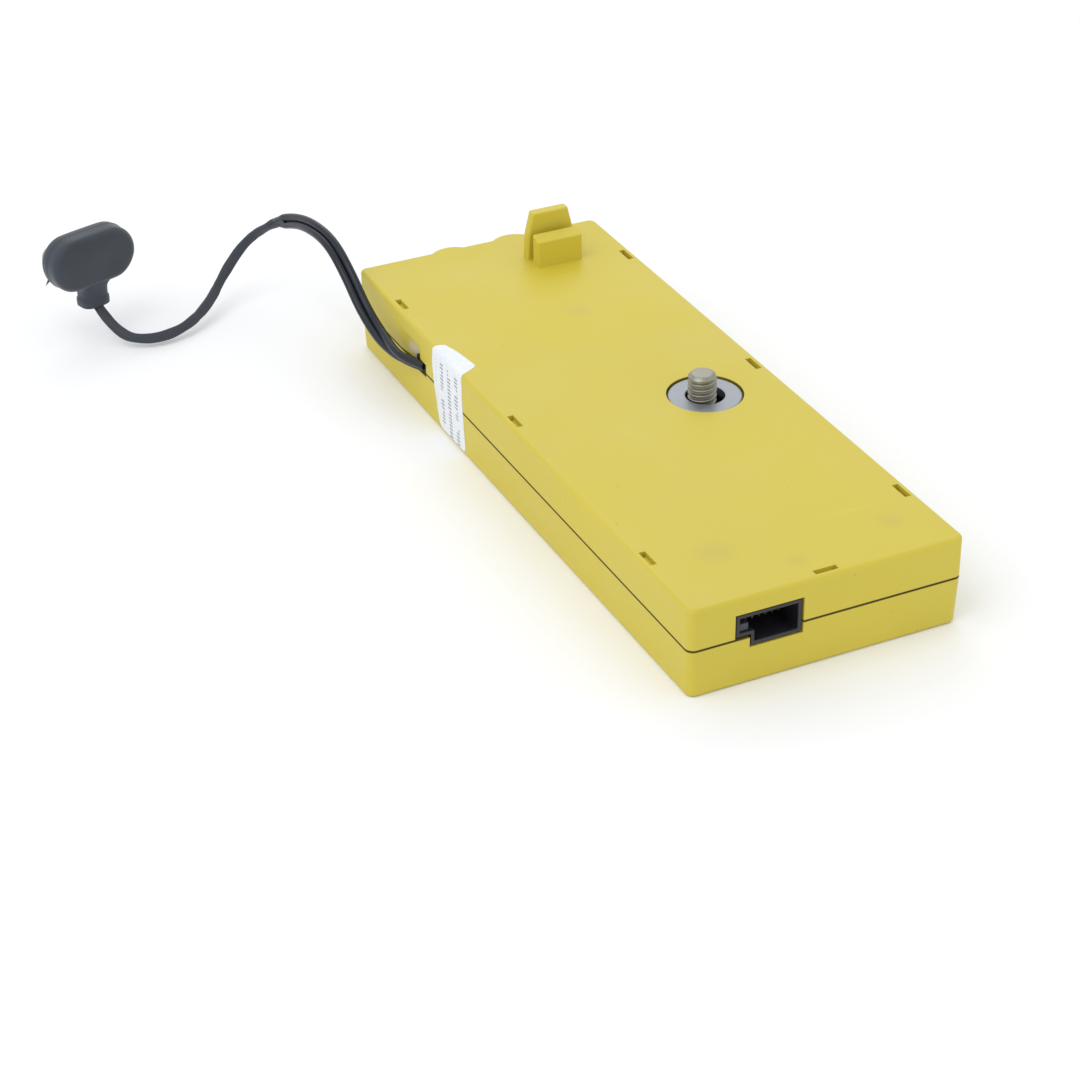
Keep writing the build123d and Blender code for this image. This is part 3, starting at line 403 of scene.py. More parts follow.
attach(plug_body, "root")
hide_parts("plug_body")

# Floor and light: a white table in a bright room, under a broad soft box, with a weaker one
# behind it.
floor_span = np.array([-3.0, 3.0])
floor_x, floor_y = np.meshgrid(floor_span, floor_span)
floor_drop = 0.02 * mm
floor = skin("floor", [np.stack([floor_x, floor_y, np.full_like(floor_x, -floor_drop)], -1)])
if floor.data.polygons[0].normal.z < 0:
    floor.data.flip_normals()
made, tree, place = material("white_table")
haze = node(tree, "TexNoise", {"Scale": 3.0, "Detail": 2.0}, {"Vector": place}).outputs["Fac"]
tint = node(tree, "ValToRGB", {"stops": [(0.2, "#FAFAFA"), (0.8, "#FDFDFD")]},
            {"Fac": haze}).outputs["Color"]
shade(tree, {"Roughness": 0.9, "Specular IOR Level": 0.1}, {"Base Color": tint})
floor.data.materials.append(made)

room = bpy.data.worlds.new("room")
room.use_nodes = True
room.node_tree.nodes["Background"].inputs["Color"].default_value = linear("#F7F9FC")
room.node_tree.nodes["Background"].inputs["Strength"].default_value = 0.92
bpy.context.scene.world = room
# Colours are shown as they are, with no film-like roll-off
bpy.context.scene.view_settings.view_transform = "Standard"


def soft_box(name, place, target, size, power):
    """A square area light at a place, facing a target, both in metres."""
    lamp = bpy.data.lights.new(name, "AREA")
    lamp.size = size
    lamp.energy = power
    holder = bpy.data.objects.new(name, lamp)
    bpy.context.scene.collection.objects.link(holder)
    holder.location = place
    holder.rotation_euler = (Vector(target) - Vector(place)).to_track_quat("-Z", "Y").to_euler()


soft_box("key_light", (-0.55, -0.15, 0.85), (0, 0, 0), 0.7, 2.4)
soft_box("rear_light", (0.3, 0.8, 0.7), (0, 0, 0), 0.6, 1.1)


def finish(names, made):
    """Gives CAD nodes one material in place of their plain one."""
    for name in names:
        slots = nodes[name].data.materials
        slots.clear()
        slots.append(made)


# Case shells: injection-moulded ABS in yellow, two halves that snap together. The steel mould
# was spark-eroded, which leaves a fine even grain; handling has added scuffs and smudges.
half_width = 31.0
case_height = 20.4
lower_top = 10.9
parting_height = 11.2
bush_x, bush_y = 13.0, -8.0
made, tree, place = material("moulded_abs_yellow")
wide_cloud = node(tree, "TexNoise", {"Scale": 22.0, "Detail": 3.0}, {"Vector": place}).outputs["Fac"]
# The spark grain is about 0.15 mm; it is drawn at 0.3 mm so that it shows
spark = node(tree, "TexNoise", {"Scale": 3300.0, "Detail": 3.0}, {"Vector": place}).outputs["Fac"]
tint = node(tree, "ValToRGB", {"stops": [(0.3, "#CDBB39"), (0.7, "#D2C03F")]},
            {"Fac": wide_cloud}).outputs["Color"]
turned = node(tree, "Mapping", {"Rotation": (0, 0, 0.42), "Scale": (14.0, 420.0, 60.0)},
              {"Vector": place}).outputs["Vector"]
hairs = node(tree, "TexNoise", {"Scale": 1.0, "Detail": 2.0}, {"Vector": turned}).outputs["Fac"]
scuff_zone = node(tree, "TexNoise", {"Scale": 45.0, "Detail": 2.0}, {"Vector": place}).outputs["Fac"]
fine_hairs = node(tree, "MapRange", {"From Min": 0.66, "From Max": 0.74}, {"Value": hairs})
handled = node(tree, "MapRange", {"From Min": 0.52, "From Max": 0.66}, {"Value": scuff_zone})
scuffs = node(tree, "Math", {"operation": "MULTIPLY"},
              {0: fine_hairs.outputs["Result"], 1: handled.outputs["Result"]})
specks = node(tree, "TexVoronoi", {"Scale": 120.0, "Randomness": 1.0},
              {"Vector": place}).outputs["Distance"]
speck = node(tree, "MapRange", {"From Min": 0.018, "From Max": 0.032, "To Min": 1, "To Max": 0},
             {"Value": specks}).outputs["Result"]


def spot(tree, place, centre, radius, fuzz):
    """1 at a point of the piece, in mm, falling to 0 at a radius, with an edge made ragged by a
    noise value."""
    away = node(tree, "VectorMath", {"operation": "DISTANCE", 1: [c * mm for c in centre]}, {0: place})
    ragged = node(tree, "Math", {"operation": "MULTIPLY_ADD", 1: radius * mm * 0.9},
                  {0: fuzz, 2: away.outputs["Value"]})
    return node(tree, "MapRange",
                {"From Min": radius * mm * 0.45, "From Max": radius * mm * 1.45,
                 "To Min": 1, "To Max": 0}, {"Value": ragged.outputs[0]}).outputs["Result"]


def round_axis(tree, place, x, y):
    """The place measured from an upright axis at x and y in mm, and its distance from the axis."""
    centred = node(tree, "Mapping", {"Location": (-x * mm, -y * mm, 0)}, {"Vector": place})
    spread = node(tree, "SeparateXYZ", links={0: centred.outputs["Vector"]})
    level = node(tree, "CombineXYZ", links={0: spread.outputs["X"], 1: spread.outputs["Y"]})
    away = node(tree, "VectorMath", {"operation": "LENGTH"}, {0: level.outputs["Vector"]})
    return centred.outputs["Vector"], away.outputs["Value"]


# Grey smudges from handling, three near the socket's end and one towards the rear
smudge = None
for centre, radius in (
    ((-16.0, -66.0, 20.4), 5.0), ((21.0, -71.0, 20.4), 4.0),
    ((-3.0, -76.0, 20.4), 3.0), ((6.0, 40.0, 20.4), 5.0),
):
    one = spot(tree, place, centre, radius, wide_cloud)
    smudge = one if smudge is None else node(
        tree, "Math", {"operation": "MAXIMUM"}, {0: smudge, 1: one}).outputs[0]
smudge = node(tree, "Math", {"operation": "MULTIPLY", 1: 0.16}, {0: smudge}).outputs[0]
marks = node(tree, "Math", {"operation": "MULTIPLY", 1: 0.35}, {0: speck}).outputs[0]
rubbed = node(tree, "Math", {"operation": "MULTIPLY", 1: 0.25}, {0: scuffs.outputs[0]}).outputs[0]
colour = node(tree, "Mix", {"data_type": "RGBA", 7: "#9A9468"}, {0: smudge, 6: tint}).outputs[2]
colour = node(tree, "Mix", {"data_type": "RGBA", 7: "#8A7F3A"}, {0: marks, 6: colour}).outputs[2]
colour = node(tree, "Mix", {"data_type": "RGBA", 7: "#E2D77A"}, {0: rubbed, 6: colour}).outputs[2]
# Painted shade darkens the plastic along the parting line and in the gap round the flange, and a
# whitish painted highlight lies on the wall beside the lead's exit
parts = node(tree, "SeparateXYZ", links={0: place})
parting_middle = (lower_top + parting_height) / 2
off_line = node(tree, "Math", {"operation": "SUBTRACT", 1: parting_middle * mm},
                {0: parts.outputs["Z"]})
from_line = node(tree, "Math", {"operation": "ABSOLUTE"}, {0: off_line.outputs[0]})
parting_shade = node(tree, "MapRange",
               {"From Min": 0.22 * mm, "From Max": 0.36 * mm, "To Min": 0.9, "To Max": 0},
               {"Value": from_line.outputs[0]}).outputs["Result"]
_, away = round_axis(tree, place, bush_x, bush_y)
by_flange = node(tree, "MapRange",
                 {"From Min": 8.52 * mm, "From Max": 8.60 * mm, "To Min": 0.85, "To Max": 0},
                 {"Value": away}).outputs["Result"]
below_top = node(tree, "MapRange",
                 {"From Min": (case_height - 0.15) * mm, "From Max": (case_height - 0.02) * mm,
                  "To Min": 1, "To Max": 0}, {"Value": parts.outputs["Z"]}).outputs["Result"]
flange_gap_shade = node(tree, "Math", {"operation": "MULTIPLY"}, {0: by_flange, 1: below_top}).outputs[0]
painted_gap_shade = node(tree, "Math", {"operation": "MAXIMUM"}, {0: parting_shade, 1: flange_gap_shade}).outputs[0]
# Painted shade: a dark olive along the parting line and in the gap round the flange
colour = node(tree, "Mix", {"data_type": "RGBA", 7: "#5F5212"}, {0: painted_gap_shade, 6: colour}).outputs[2]
# The painted highlight: a whitish patch beside the lead's exit, drawn long along the wall
highlight_centre = (-half_width, 51.27, 13.6)
squash = 0.55
squashed = node(tree, "Mapping",
                {"Scale": (1.0, squash, 1.0), "Location": (0, (1 - squash) * highlight_centre[1] * mm, 0)},
                {"Vector": place}).outputs["Vector"]
painted_highlight = spot(tree, squashed, highlight_centre, 2.3, spark)
colour = node(tree, "Mix", {"data_type": "RGBA", 7: "#EFE6DC"}, {0: painted_highlight, 6: colour}).outputs[2]
grain = node(tree, "Bump", {"Strength": 0.35, "Distance": 0.00004}, {"Height": spark})
sink = node(tree, "Bump", {"Strength": 0.3, "Distance": 0.0006},
            {"Height": wide_cloud, "Normal": grain.outputs["Normal"]})
dull = node(tree, "MapRange", {"From Min": 0.3, "From Max": 0.7, "To Min": 0.40, "To Max": 0.54},
            {"Value": scuff_zone}).outputs["Result"]
shade(tree, {"IOR": 1.52},
      {"Base Color": colour, "Roughness": dull, "Normal": sink.outputs["Normal"]})
finish(["upper_shell", "lower_shell"], made)

# Tamper seal: a thin coated film stuck over the parting line, from the side wall on to the top
# face, where it ends in a pointed tab. It carries rows of plain ruled ticks and no words.
edge_radius = 0.8
seal_front = 23.4
seal_rear = 39.1
draft_inset = lower_top * math.tan(math.radians(2.0))
film = 0.12
# The film's path as (x outward from the side plane, z), from its foot up and over the edge
foot_low = 0.9
bend = np.linspace(0, math.pi / 2, 9)
wall_low = np.stack([-draft_inset * (1 - np.linspace(foot_low, lower_top, 12) / lower_top),
                     np.linspace(foot_low, lower_top, 12)], 1)
wall_high = np.stack([np.zeros(9),
                      np.linspace(parting_height, case_height - film - edge_radius, 9)], 1)
over = np.stack([-edge_radius * (1 - np.cos(bend)),
                 case_height - film - edge_radius * (1 - np.sin(bend))], 1)[1:]
lap_length = 4.7
lap = np.stack([-np.linspace(edge_radius, lap_length, 20),
                np.full(20, case_height - film)], 1)[1:]
path = np.concatenate([wall_low, wall_high, over, lap])
steps = np.linalg.norm(np.diff(path, axis=0), axis=1)
along = np.concatenate([[0.0], np.cumsum(steps)])
outward = np.gradient(path, axis=0)
outward = np.stack([outward[:, 1], -outward[:, 0]], 1)
outward /= np.linalg.norm(outward, axis=1)[:, None]
inland = np.maximum(0.0, -path[:, 0] * (path[:, 1] > 15))
front_edge = seal_front + np.interp(inland, [0, 0.5, 1.2, 2.4, 3.6, 4.3, lap_length],
                                    [0, 0.3, 0.6, 1.3, 2.0, 2.4, 3.2])
rear_edge = seal_front + np.interp(inland, [0, 1.5, 2.3, 2.7, 3.3, 4.0, lap_length],
                                   [15.7, 15.5, 15.2, 14.9, 12.8, 9.6, 3.6])
# Below the edge it was stuck on a little askew, leaning forward as it goes down the wall
askew = np.clip((18.5 - path[:, 1]) / 18.5, 0, 1)
front_edge = front_edge - 0.7 * askew
rear_edge = rear_edge + 0.5 * np.clip((20 - path[:, 1]) / 3, 0, 1) - 3.0 * askew ** 1.5
foot_round = np.interp(along, [0, 0.35, 1.2], [0.9, 0.25, 0.0])
front_edge = front_edge + foot_round
rear_edge = rear_edge - foot_round
# It waves by a few hundredths of a millimetre, and on the top face only downwards
across = np.linspace(0, 1, 41)
width_at = front_edge[:, None] + (rear_edge - front_edge)[:, None] * across[None, :]
lift = film + 0.035 * np.sin(width_at * 0.9 + along[:, None] * 0.7) * np.sin(width_at * 2.1)
lift = np.where(path[:, 1, None] > case_height - 0.3, np.minimum(lift, film), lift)
under = np.full_like(lift, 0.004)


def film_points(lift):
    """The film's surface at a height over the shell, along the path and across the edges."""
    x = -half_width - path[:, 0, None] - outward[:, 0, None] * lift
    z = path[:, 1, None] + outward[:, 1, None] * lift
    return np.stack([x, width_at, z], -1) * mm


outer_face = film_points(lift)
inner_face = film_points(under)
ring = np.concatenate([outer_face, inner_face[:, ::-1], outer_face[:, :1]], axis=1)
pressed = np.concatenate([inner_face, inner_face[:, ::-1], inner_face[:, :1]], axis=1)
seal = skin("tamper_seal_film", [np.concatenate([pressed[:1], ring, pressed[-1:]])], 50)

# Coated white film, printed: satin white with a paper-like mottle and cool grey ruled ticks
# in three broken columns that run up the wall, each tick about 1.6 mm long.
made, tree, place = material("coated_film_white")
parts = node(tree, "SeparateXYZ", links={0: place})
column_pitch, tick_pitch = 3.9, 0.92
column_shift = -seal_front / column_pitch - 0.28
columns = node(tree, "Math",
               {"operation": "MULTIPLY_ADD", 1: 1 / (column_pitch * mm), 2: column_shift},
               {0: parts.outputs["Y"]})
column = node(tree, "Math", {"operation": "FRACT"}, {0: columns.outputs[0]})
middle = node(tree, "Math", {"operation": "PINGPONG", 1: 0.5}, {0: column.outputs[0]})
in_column = node(tree, "MapRange", {"From Min": 0.27, "From Max": 0.31},
                 {"Value": middle.outputs[0]}).outputs["Result"]
ruled = node(tree, "Math", {"operation": "MULTIPLY", 1: 1 / (tick_pitch * mm)},
             {0: parts.outputs["Z"]})
tick = node(tree, "Math", {"operation": "PINGPONG", 1: 0.5}, {0: ruled.outputs[0]})
stroke = node(tree, "MapRange", {"From Min": 0.22, "From Max": 0.30},
              {"Value": tick.outputs[0]}).outputs["Result"]
spaced = node(tree, "Mapping", {"Scale": (60.0, 320.0, 330.0)}, {"Vector": place})
gaps = node(tree, "TexNoise", {"Scale": 1.0, "Detail": 0.0}, {"Vector": spaced.outputs["Vector"]})
group = node(tree, "MapRange", {"From Min": 0.40, "From Max": 0.46},
             {"Value": gaps.outputs["Fac"]}).outputs["Result"]
# The print stops short of the film's front and rear edges and of the case's upper edge
below = node(tree, "MapRange",
             {"From Min": 18.2 * mm, "From Max": 18.8 * mm, "To Min": 1, "To Max": 0},
             {"Value": parts.outputs["Z"]}).outputs["Result"]
after = node(tree, "MapRange",
             {"From Min": (seal_front + 1.1) * mm, "From Max": (seal_front + 1.4) * mm},
             {"Value": parts.outputs["Y"]}).outputs["Result"]
before = node(tree, "MapRange",
              {"From Min": (seal_rear - 1.8) * mm, "From Max": (seal_rear - 1.4) * mm,
               "To Min": 1, "To Max": 0}, {"Value": parts.outputs["Y"]}).outputs["Result"]
ink = in_column
for factor in (stroke, group, below, after, before):
    ink = node(tree, "Math", {"operation": "MULTIPLY"}, {0: ink, 1: factor}).outputs[0]
ink = node(tree, "Math", {"operation": "MULTIPLY", 1: 0.75}, {0: ink}).outputs[0]
mottle = node(tree, "TexNoise", {"Scale": 900.0, "Detail": 3.0}, {"Vector": place}).outputs["Fac"]
paper, dull = clouded(tree, mottle, "#E3E7EC", "#EDF0F4", 0.30, 0.42)
printed = node(tree, "Mix", {"data_type": "RGBA", 7: "#47505F"}, {0: ink, 6: paper}).outputs[2]
fibre = node(tree, "Bump", {"Strength": 0.2, "Distance": 0.00003}, {"Height": mottle})
shade(tree, {"IOR": 1.48},
      {"Base Color": printed, "Roughness": dull, "Normal": fibre.outputs["Normal"]})
seal.data.materials.append(made)
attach(seal, "root")
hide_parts("seal_label")

# Flanged bush: turned from steel bar and zinc plated, pressed and nutted into the lid. Its
# flange is faced in fine rings, and its bore is painted near-black and dull as painted shade.
made, tree, place = material("turned_zinc_plate")
centred, away = round_axis(tree, place, bush_x, bush_y)
# Facing marks are about 0.1 mm apart; they are drawn at 0.35 mm so that they show
rings = node(tree, "TexWave",
             {"wave_type": "RINGS", "rings_direction": "Z", "Scale": 900.0, "Distortion": 1.2,
              "Detail": 2.0}, {"Vector": centred}).outputs["Fac"]
cloud = node(tree, "TexNoise", {"Scale": 300.0, "Detail": 4.0}, {"Vector": place}).outputs["Fac"]
bore_shade = node(tree, "MapRange",
               {"From Min": 4.30 * mm, "From Max": 4.42 * mm, "To Min": 1, "To Max": 0},
               {"Value": away}).outputs["Result"]
plate, faced = clouded(tree, cloud, "#A2A5AA", "#B1B4BA", 0.46, 0.60)
turned = node(tree, "Bump", {"Strength": 0.14, "Distance": 0.00003}, {"Height": rings})
pits = node(tree, "Bump", {"Strength": 0.25, "Distance": 0.00004},
            {"Height": cloud, "Normal": turned.outputs["Normal"]})
# Painted shade in the bore: near-black, less metallic and duller
colour = node(tree, "Mix", {"data_type": "RGBA", 7: "#0B0B0C"}, {0: bore_shade, 6: plate}).outputs[2]
bare = node(tree, "MapRange", {"To Min": 1, "To Max": 0.1}, {"Value": bore_shade}).outputs["Result"]
bore_matte = node(tree, "MapRange", {"To Min": 0, "To Max": 0.8}, {"Value": bore_shade}).outputs["Result"]
dull = node(tree, "Math", {"operation": "MAXIMUM"}, {0: faced, 1: bore_matte}).outputs[0]
shade(tree, {},
      {"Base Color": colour, "Metallic": bare, "Roughness": dull, "Normal": pits.outputs["Normal"]})


def softened(name, source, width, made, body, segments=2):
    """A CAD node's copy with its corners broken by a small bevel, so that its edges catch the
    light; flat triangles are joined first. It replaces the node and rides where it did."""
    mesh = nodes[source].data.copy()
    mesh.name = name
    tidy = bmesh.new()
    tidy.from_mesh(mesh)
    bmesh.ops.remove_doubles(tidy, verts=tidy.verts, dist=1e-6)
    bmesh.ops.dissolve_limit(
        tidy, angle_limit=math.radians(1.0), verts=tidy.verts, edges=tidy.edges
    )
    tidy.to_mesh(mesh)
    tidy.free()
    if mesh.has_custom_normals:
        mesh.attributes.remove(mesh.attributes["custom_normal"])
    mesh.materials.clear()
    mesh.materials.append(made)
    mesh.shade_smooth()
    mesh.set_sharp_from_angle(angle=math.radians(35))
    piece = bpy.data.objects.new(name, mesh)
    bpy.context.scene.collection.objects.link(piece)
    bevel = piece.modifiers.new("broken_edges", "BEVEL")
    bevel.width = width * mm
    bevel.segments = segments
    bevel.limit_method = "ANGLE"
    bevel.angle_limit = math.radians(35)
    bevel.harden_normals = True
    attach(piece, body)
    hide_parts(source)
    return piece


softened("turned_flanged_bush", "flanged_bush", 0.18, made, "root")
finish(["bush_nut", "bush_base"], made)

# Captive mounting screw: turned steel, nickel plated, with a rolled coarse 1/4 inch thread at
# its free end. A coin slot is milled across its head, and a spring ring keeps it in its bush.
screw_x, screw_y = 12.41, -7.73
thread_radius = 3.175
thread_pitch = 1.27
root_radius = 2.55
shank_radius = 2.5
thread_low = 17.5
thread_top = 25.55
sides = np.linspace(0, 2 * math.pi, 73)
rise = np.linspace(thread_low - 0.5, thread_top - 0.12, 170)[:, None]
turns = rise / thread_pitch - sides[None, :] / (2 * math.pi)
# The ridge is a softened triangle wave along the helix. It rises out of the shank at the low
# end, and the tip is rounded off.
flank = np.abs(2 * (turns - np.floor(turns)) - 1)
ridge = np.clip(flank * 1.45 - 0.2, 0, 1)
ridge = ridge * ridge * (3 - 2 * ridge)
radius = root_radius + (thread_radius - root_radius) * ridge
radius = np.minimum(radius, shank_radius + np.maximum(rise - thread_low, 0) * 1.1 - 0.02)
radius = np.minimum(radius, 2.08 + np.sqrt(np.maximum(0, thread_top - rise)) * 1.22)
# The ring's groove round the shank
groove_low, groove_high = 15.55, 16.45
groove_radius = 2.1
head_low, head_top = 0.4, 3.7
head_radius = 6.5
lathe = np.array([
    (0.0, head_low), (5.6, head_low), (6.1, head_low + 0.08), (6.4, head_low + 0.3),
    (head_radius, head_low + 0.6), (head_radius, head_top - 0.5), (6.4, head_top - 0.2),
    (6.15, head_top), (2.9, head_top), (2.62, head_top + 0.1), (shank_radius, head_top + 0.35),
    (shank_radius, 10.0), (shank_radius, groove_low), (groove_radius, groove_low),
    (groove_radius, groove_high), (shank_radius, groove_high), (shank_radius, thread_low - 0.52),
])
crown = np.array([
    (2.30, thread_top - 0.05), (2.10, thread_top - 0.02), (1.8, thread_top - 0.005),
    (1.2, thread_top), (0.0, thread_top),
])


def lathed(pairs):
    """A profile of (radius, height) pairs turned round the screw's axis, in mm."""
    return pairs[:, :1] + 0 * sides[None, :], pairs[:, 1:] + 0 * sides[None, :]


radii, heights = zip(lathed(lathe), (radius, rise + 0 * sides[None, :]), lathed(crown))
radii, heights = np.concatenate(radii), np.concatenate(heights)
screw = skin("coarse_threaded_screw", [np.stack([
    screw_x + radii * np.cos(sides), screw_y + radii * np.sin(sides), heights], -1) * mm], 32)
# The coin slot, cut by a long block across the head's underside
slot_half_width, slot_depth = 0.8, 1.5
corner_x = np.array([-1, 1, 1, -1, -1]) * 8.0
corner_y = np.array([-1, -1, 1, 1, -1]) * slot_half_width
lift_rows = np.array([-1.0, -1.0, slot_depth, slot_depth])[:, None]
grow = np.array([0.0, 1.0, 1.0, 0.0])[:, None]
cutter = skin("slot_cutter", [np.stack([
    screw_x + corner_x * grow, screw_y + corner_y * grow, head_low + lift_rows + 0 * corner_x,
], -1) * mm], 30)
cut = screw.modifiers.new("coin_slot", "BOOLEAN")
cut.operation = "DIFFERENCE"
cut.solver = "EXACT"
cut.object = cutter
bpy.context.view_layer.update()
carved = bpy.data.meshes.new_from_object(screw.evaluated_get(bpy.context.evaluated_depsgraph_get()))
screw.modifiers.clear()
screw.data = carved
bpy.data.objects.remove(cutter)

# Nickel plate, bright when new and now warm and dull: fine turning rings run round it, and a
# dull grey film lies in the thread's roots in patches.
made, tree, place = material("nickel_plate_worn")
_, away = round_axis(tree, place, screw_x, screw_y)
parts = node(tree, "SeparateXYZ", links={0: place})
on_thread = node(tree, "MapRange",
                 {"From Min": (thread_low - 0.5) * mm, "From Max": (thread_low + 0.1) * mm},
                 {"Value": parts.outputs["Z"]}).outputs["Result"]
below_tip = node(tree, "MapRange",
                 {"From Min": (thread_top - 0.40) * mm, "From Max": (thread_top - 0.15) * mm,
                  "To Min": 1, "To Max": 0}, {"Value": parts.outputs["Z"]}).outputs["Result"]
root = node(tree, "MapRange",
            {"From Min": shank_radius * mm, "From Max": (root_radius + 0.4) * mm,
             "To Min": 1, "To Max": 0}, {"Value": away}).outputs["Result"]
cloud = node(tree, "TexNoise", {"Scale": 520.0, "Detail": 4.0}, {"Vector": place}).outputs["Fac"]
fine = node(tree, "TexNoise", {"Scale": 4200.0, "Detail": 2.0}, {"Vector": place}).outputs["Fac"]
patchy = node(tree, "MapRange",
              {"From Min": 0.35, "From Max": 0.6, "To Min": 0.55, "To Max": 1},
              {"Value": cloud}).outputs["Result"]
grime = root
for factor in (on_thread, below_tip, patchy):
    grime = node(tree, "Math", {"operation": "MULTIPLY"}, {0: grime, 1: factor}).outputs[0]
plate, dull = clouded(tree, cloud, "#979589", "#A9A79C", 0.38, 0.52)
lathe_rings = node(tree, "TexWave",
                   {"wave_type": "BANDS", "bands_direction": "Z", "Scale": 1200.0,
                    "Distortion": 0.6}, {"Vector": place}).outputs["Fac"]
marks = node(tree, "Bump", {"Strength": 0.1, "Distance": 0.00003}, {"Height": lathe_rings})
wear = node(tree, "Bump", {"Strength": 0.25, "Distance": 0.00005},
            {"Height": cloud, "Normal": marks.outputs["Normal"]})
dust = node(tree, "Bump", {"Strength": 0.1, "Distance": 0.00002},
            {"Height": fine, "Normal": wear.outputs["Normal"]})
colour = node(tree, "Mix", {"data_type": "RGBA", 7: "#A3A294"}, {0: grime, 6: plate}).outputs[2]
bare = node(tree, "MapRange", {"To Min": 1, "To Max": 0.75}, {"Value": grime}).outputs["Result"]
shade(tree, {},
      {"Base Color": colour, "Metallic": bare, "Roughness": dull, "Normal": dust.outputs["Normal"]})
screw.data.materials.clear()
screw.data.materials.append(made)
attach(screw, "screw")
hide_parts("mounting_screw")
finish(["board_screws", "antenna_screws", "clamp_screws"], made)

# Retaining ring: blued spring steel, blanked from strip, snapped on the shank.
made, tree, place = material("blued_spring_steel")
cloud = node(tree, "TexNoise", {"Scale": 700.0, "Detail": 3.0}, {"Vector": place}).outputs["Fac"]
steel = node(tree, "Bump", {"Strength": 0.2, "Distance": 0.00003}, {"Height": cloud})
tint, dull = clouded(tree, cloud, "#4A4E58", "#5E6168", 0.28, 0.42)
shade(tree, {"Metallic": 1.0},
      {"Base Color": tint, "Roughness": dull, "Normal": steel.outputs["Normal"]})
softened("blued_retaining_ring", "retaining_ring", 0.08, made, "screw_carrier")

# Data socket: moulded black nylon, square-cut with broken edges, soldered to the board's front
# edge so that its face stands just behind the case's front.
made, tree, place = material("moulded_nylon_black")
cloud = node(tree, "TexNoise", {"Scale": 260.0, "Detail": 3.0}, {"Vector": place}).outputs["Fac"]
fine = node(tree, "TexNoise", {"Scale": 3000.0, "Detail": 3.0}, {"Vector": place}).outputs["Fac"]
bloom = node(tree, "Bump", {"Strength": 0.25, "Distance": 0.00004}, {"Height": fine})
tint, dull = clouded(tree, cloud, "#1E1E24", "#2A2932", 0.34, 0.48)
shade(tree, {"IOR": 1.53},
      {"Base Color": tint, "Roughness": dull, "Normal": bloom.outputs["Normal"]})
softened("nylon_data_socket", "data_connector", 0.26, made, "root")
finish(["cell_holder", "lead_clamp"], made)

# Socket's coding key: a grey nylon block that stops a plug from going in upside down.
made, tree, place = material("moulded_nylon_grey")
cloud = node(tree, "TexNoise", {"Scale": 400.0, "Detail": 3.0}, {"Vector": place}).outputs["Fac"]
bloom = node(tree, "Bump", {"Strength": 0.2, "Distance": 0.00004}, {"Height": cloud})
tint = node(tree, "ValToRGB", {"stops": [(0.3, "#33353A"), (0.7, "#404247")]},
            {"Fac": cloud}).outputs["Color"]
shade(tree, {"Roughness": 0.5, "IOR": 1.53},
      {"Base Color": tint, "Normal": bloom.outputs["Normal"]})
softened("nylon_coding_key", "connector_key", 0.16, made, "root")

# Contacts and coax ends: phosphor bronze flashed with gold, stamped and formed.
made, tree, place = material("gold_flash_contacts")
cloud = node(tree, "TexNoise", {"Scale": 900.0, "Detail": 3.0}, {"Vector": place}).outputs["Fac"]
stamped = node(tree, "Bump", {"Strength": 0.15, "Distance": 0.00002}, {"Height": cloud})
tint, dull = clouded(tree, cloud, "#A98A48", "#BFA25C", 0.2, 0.34)
shade(tree, {"Metallic": 1.0},
      {"Base Color": tint, "Roughness": dull, "Normal": stamped.outputs["Normal"]})
finish(["connector_contacts", "coax_plugs"], made)

# Grommet: a soft rubber block moulded round the lead, pressed into the wall's slot.
made, tree, place = material("moulded_rubber_black")
cloud = node(tree, "TexNoise", {"Scale": 500.0, "Detail": 4.0}, {"Vector": place}).outputs["Fac"]
chalk = node(tree, "Bump", {"Strength": 0.3, "Distance": 0.00006}, {"Height": cloud})
tint, dull = clouded(tree, cloud, "#131315", "#1E1E21", 0.6, 0.8)
shade(tree, {"IOR": 1.52},
      {"Base Color": tint, "Roughness": dull, "Normal": chalk.outputs["Normal"]})
finish(["lead_grommet"], made)

# Press-stud contacts on the plug: drawn brass, nickel plated, riveted through a card.
made, tree, place = material("nickel_press_studs")
cloud = node(tree, "TexNoise", {"Scale": 600.0, "Detail": 4.0}, {"Vector": place}).outputs["Fac"]
drawn = node(tree, "Bump", {"Strength": 0.15, "Distance": 0.00004}, {"Height": cloud})
tint, dull = clouded(tree, cloud, "#B9B6AE", "#CFCCC4", 0.16, 0.30)
shade(tree, {"Metallic": 1.0},
      {"Base Color": tint, "Roughness": dull, "Normal": drawn.outputs["Normal"]})
press_studs = softened(
    "riveted_press_studs", "plug_contacts", 0.35, made, "root", 3
)

# Boards: glass-epoxy laminate under green solder mask, with the copper tracks showing through
# as a raised, lighter pattern on a 1.2 mm grid.
made, tree, place = material("solder_mask_green")
tracks = node(tree, "TexBrick",
              {"Scale": 1.0, "Mortar Size": 0.0001, "Brick Width": 0.0042, "Row Height": 0.0012,
               "Mortar Smooth": 0.2, "offset": 0.37, "squash": 1.6, "squash_frequency": 3},
              {"Vector": place})
cloud = node(tree, "TexNoise", {"Scale": 140.0, "Detail": 3.0}, {"Vector": place}).outputs["Fac"]
mask = node(tree, "ValToRGB", {"stops": [(0.3, "#12472A"), (0.7, "#185433")]},
            {"Fac": cloud}).outputs["Color"]
raised = node(tree, "Bump", {"Strength": 0.4, "Distance": 0.00004, "invert": True},
              {"Height": tracks.outputs["Fac"]})
colour = node(tree, "Mix", {"data_type": "RGBA", 7: "#2F7A48"},
              {0: tracks.outputs["Fac"], 6: mask}).outputs[2]
shade(tree, {"Roughness": 0.28, "IOR": 1.52},
      {"Base Color": colour, "Normal": raised.outputs["Normal"]})
finish(["main_board", "antenna_board", "receiver_module"], made)

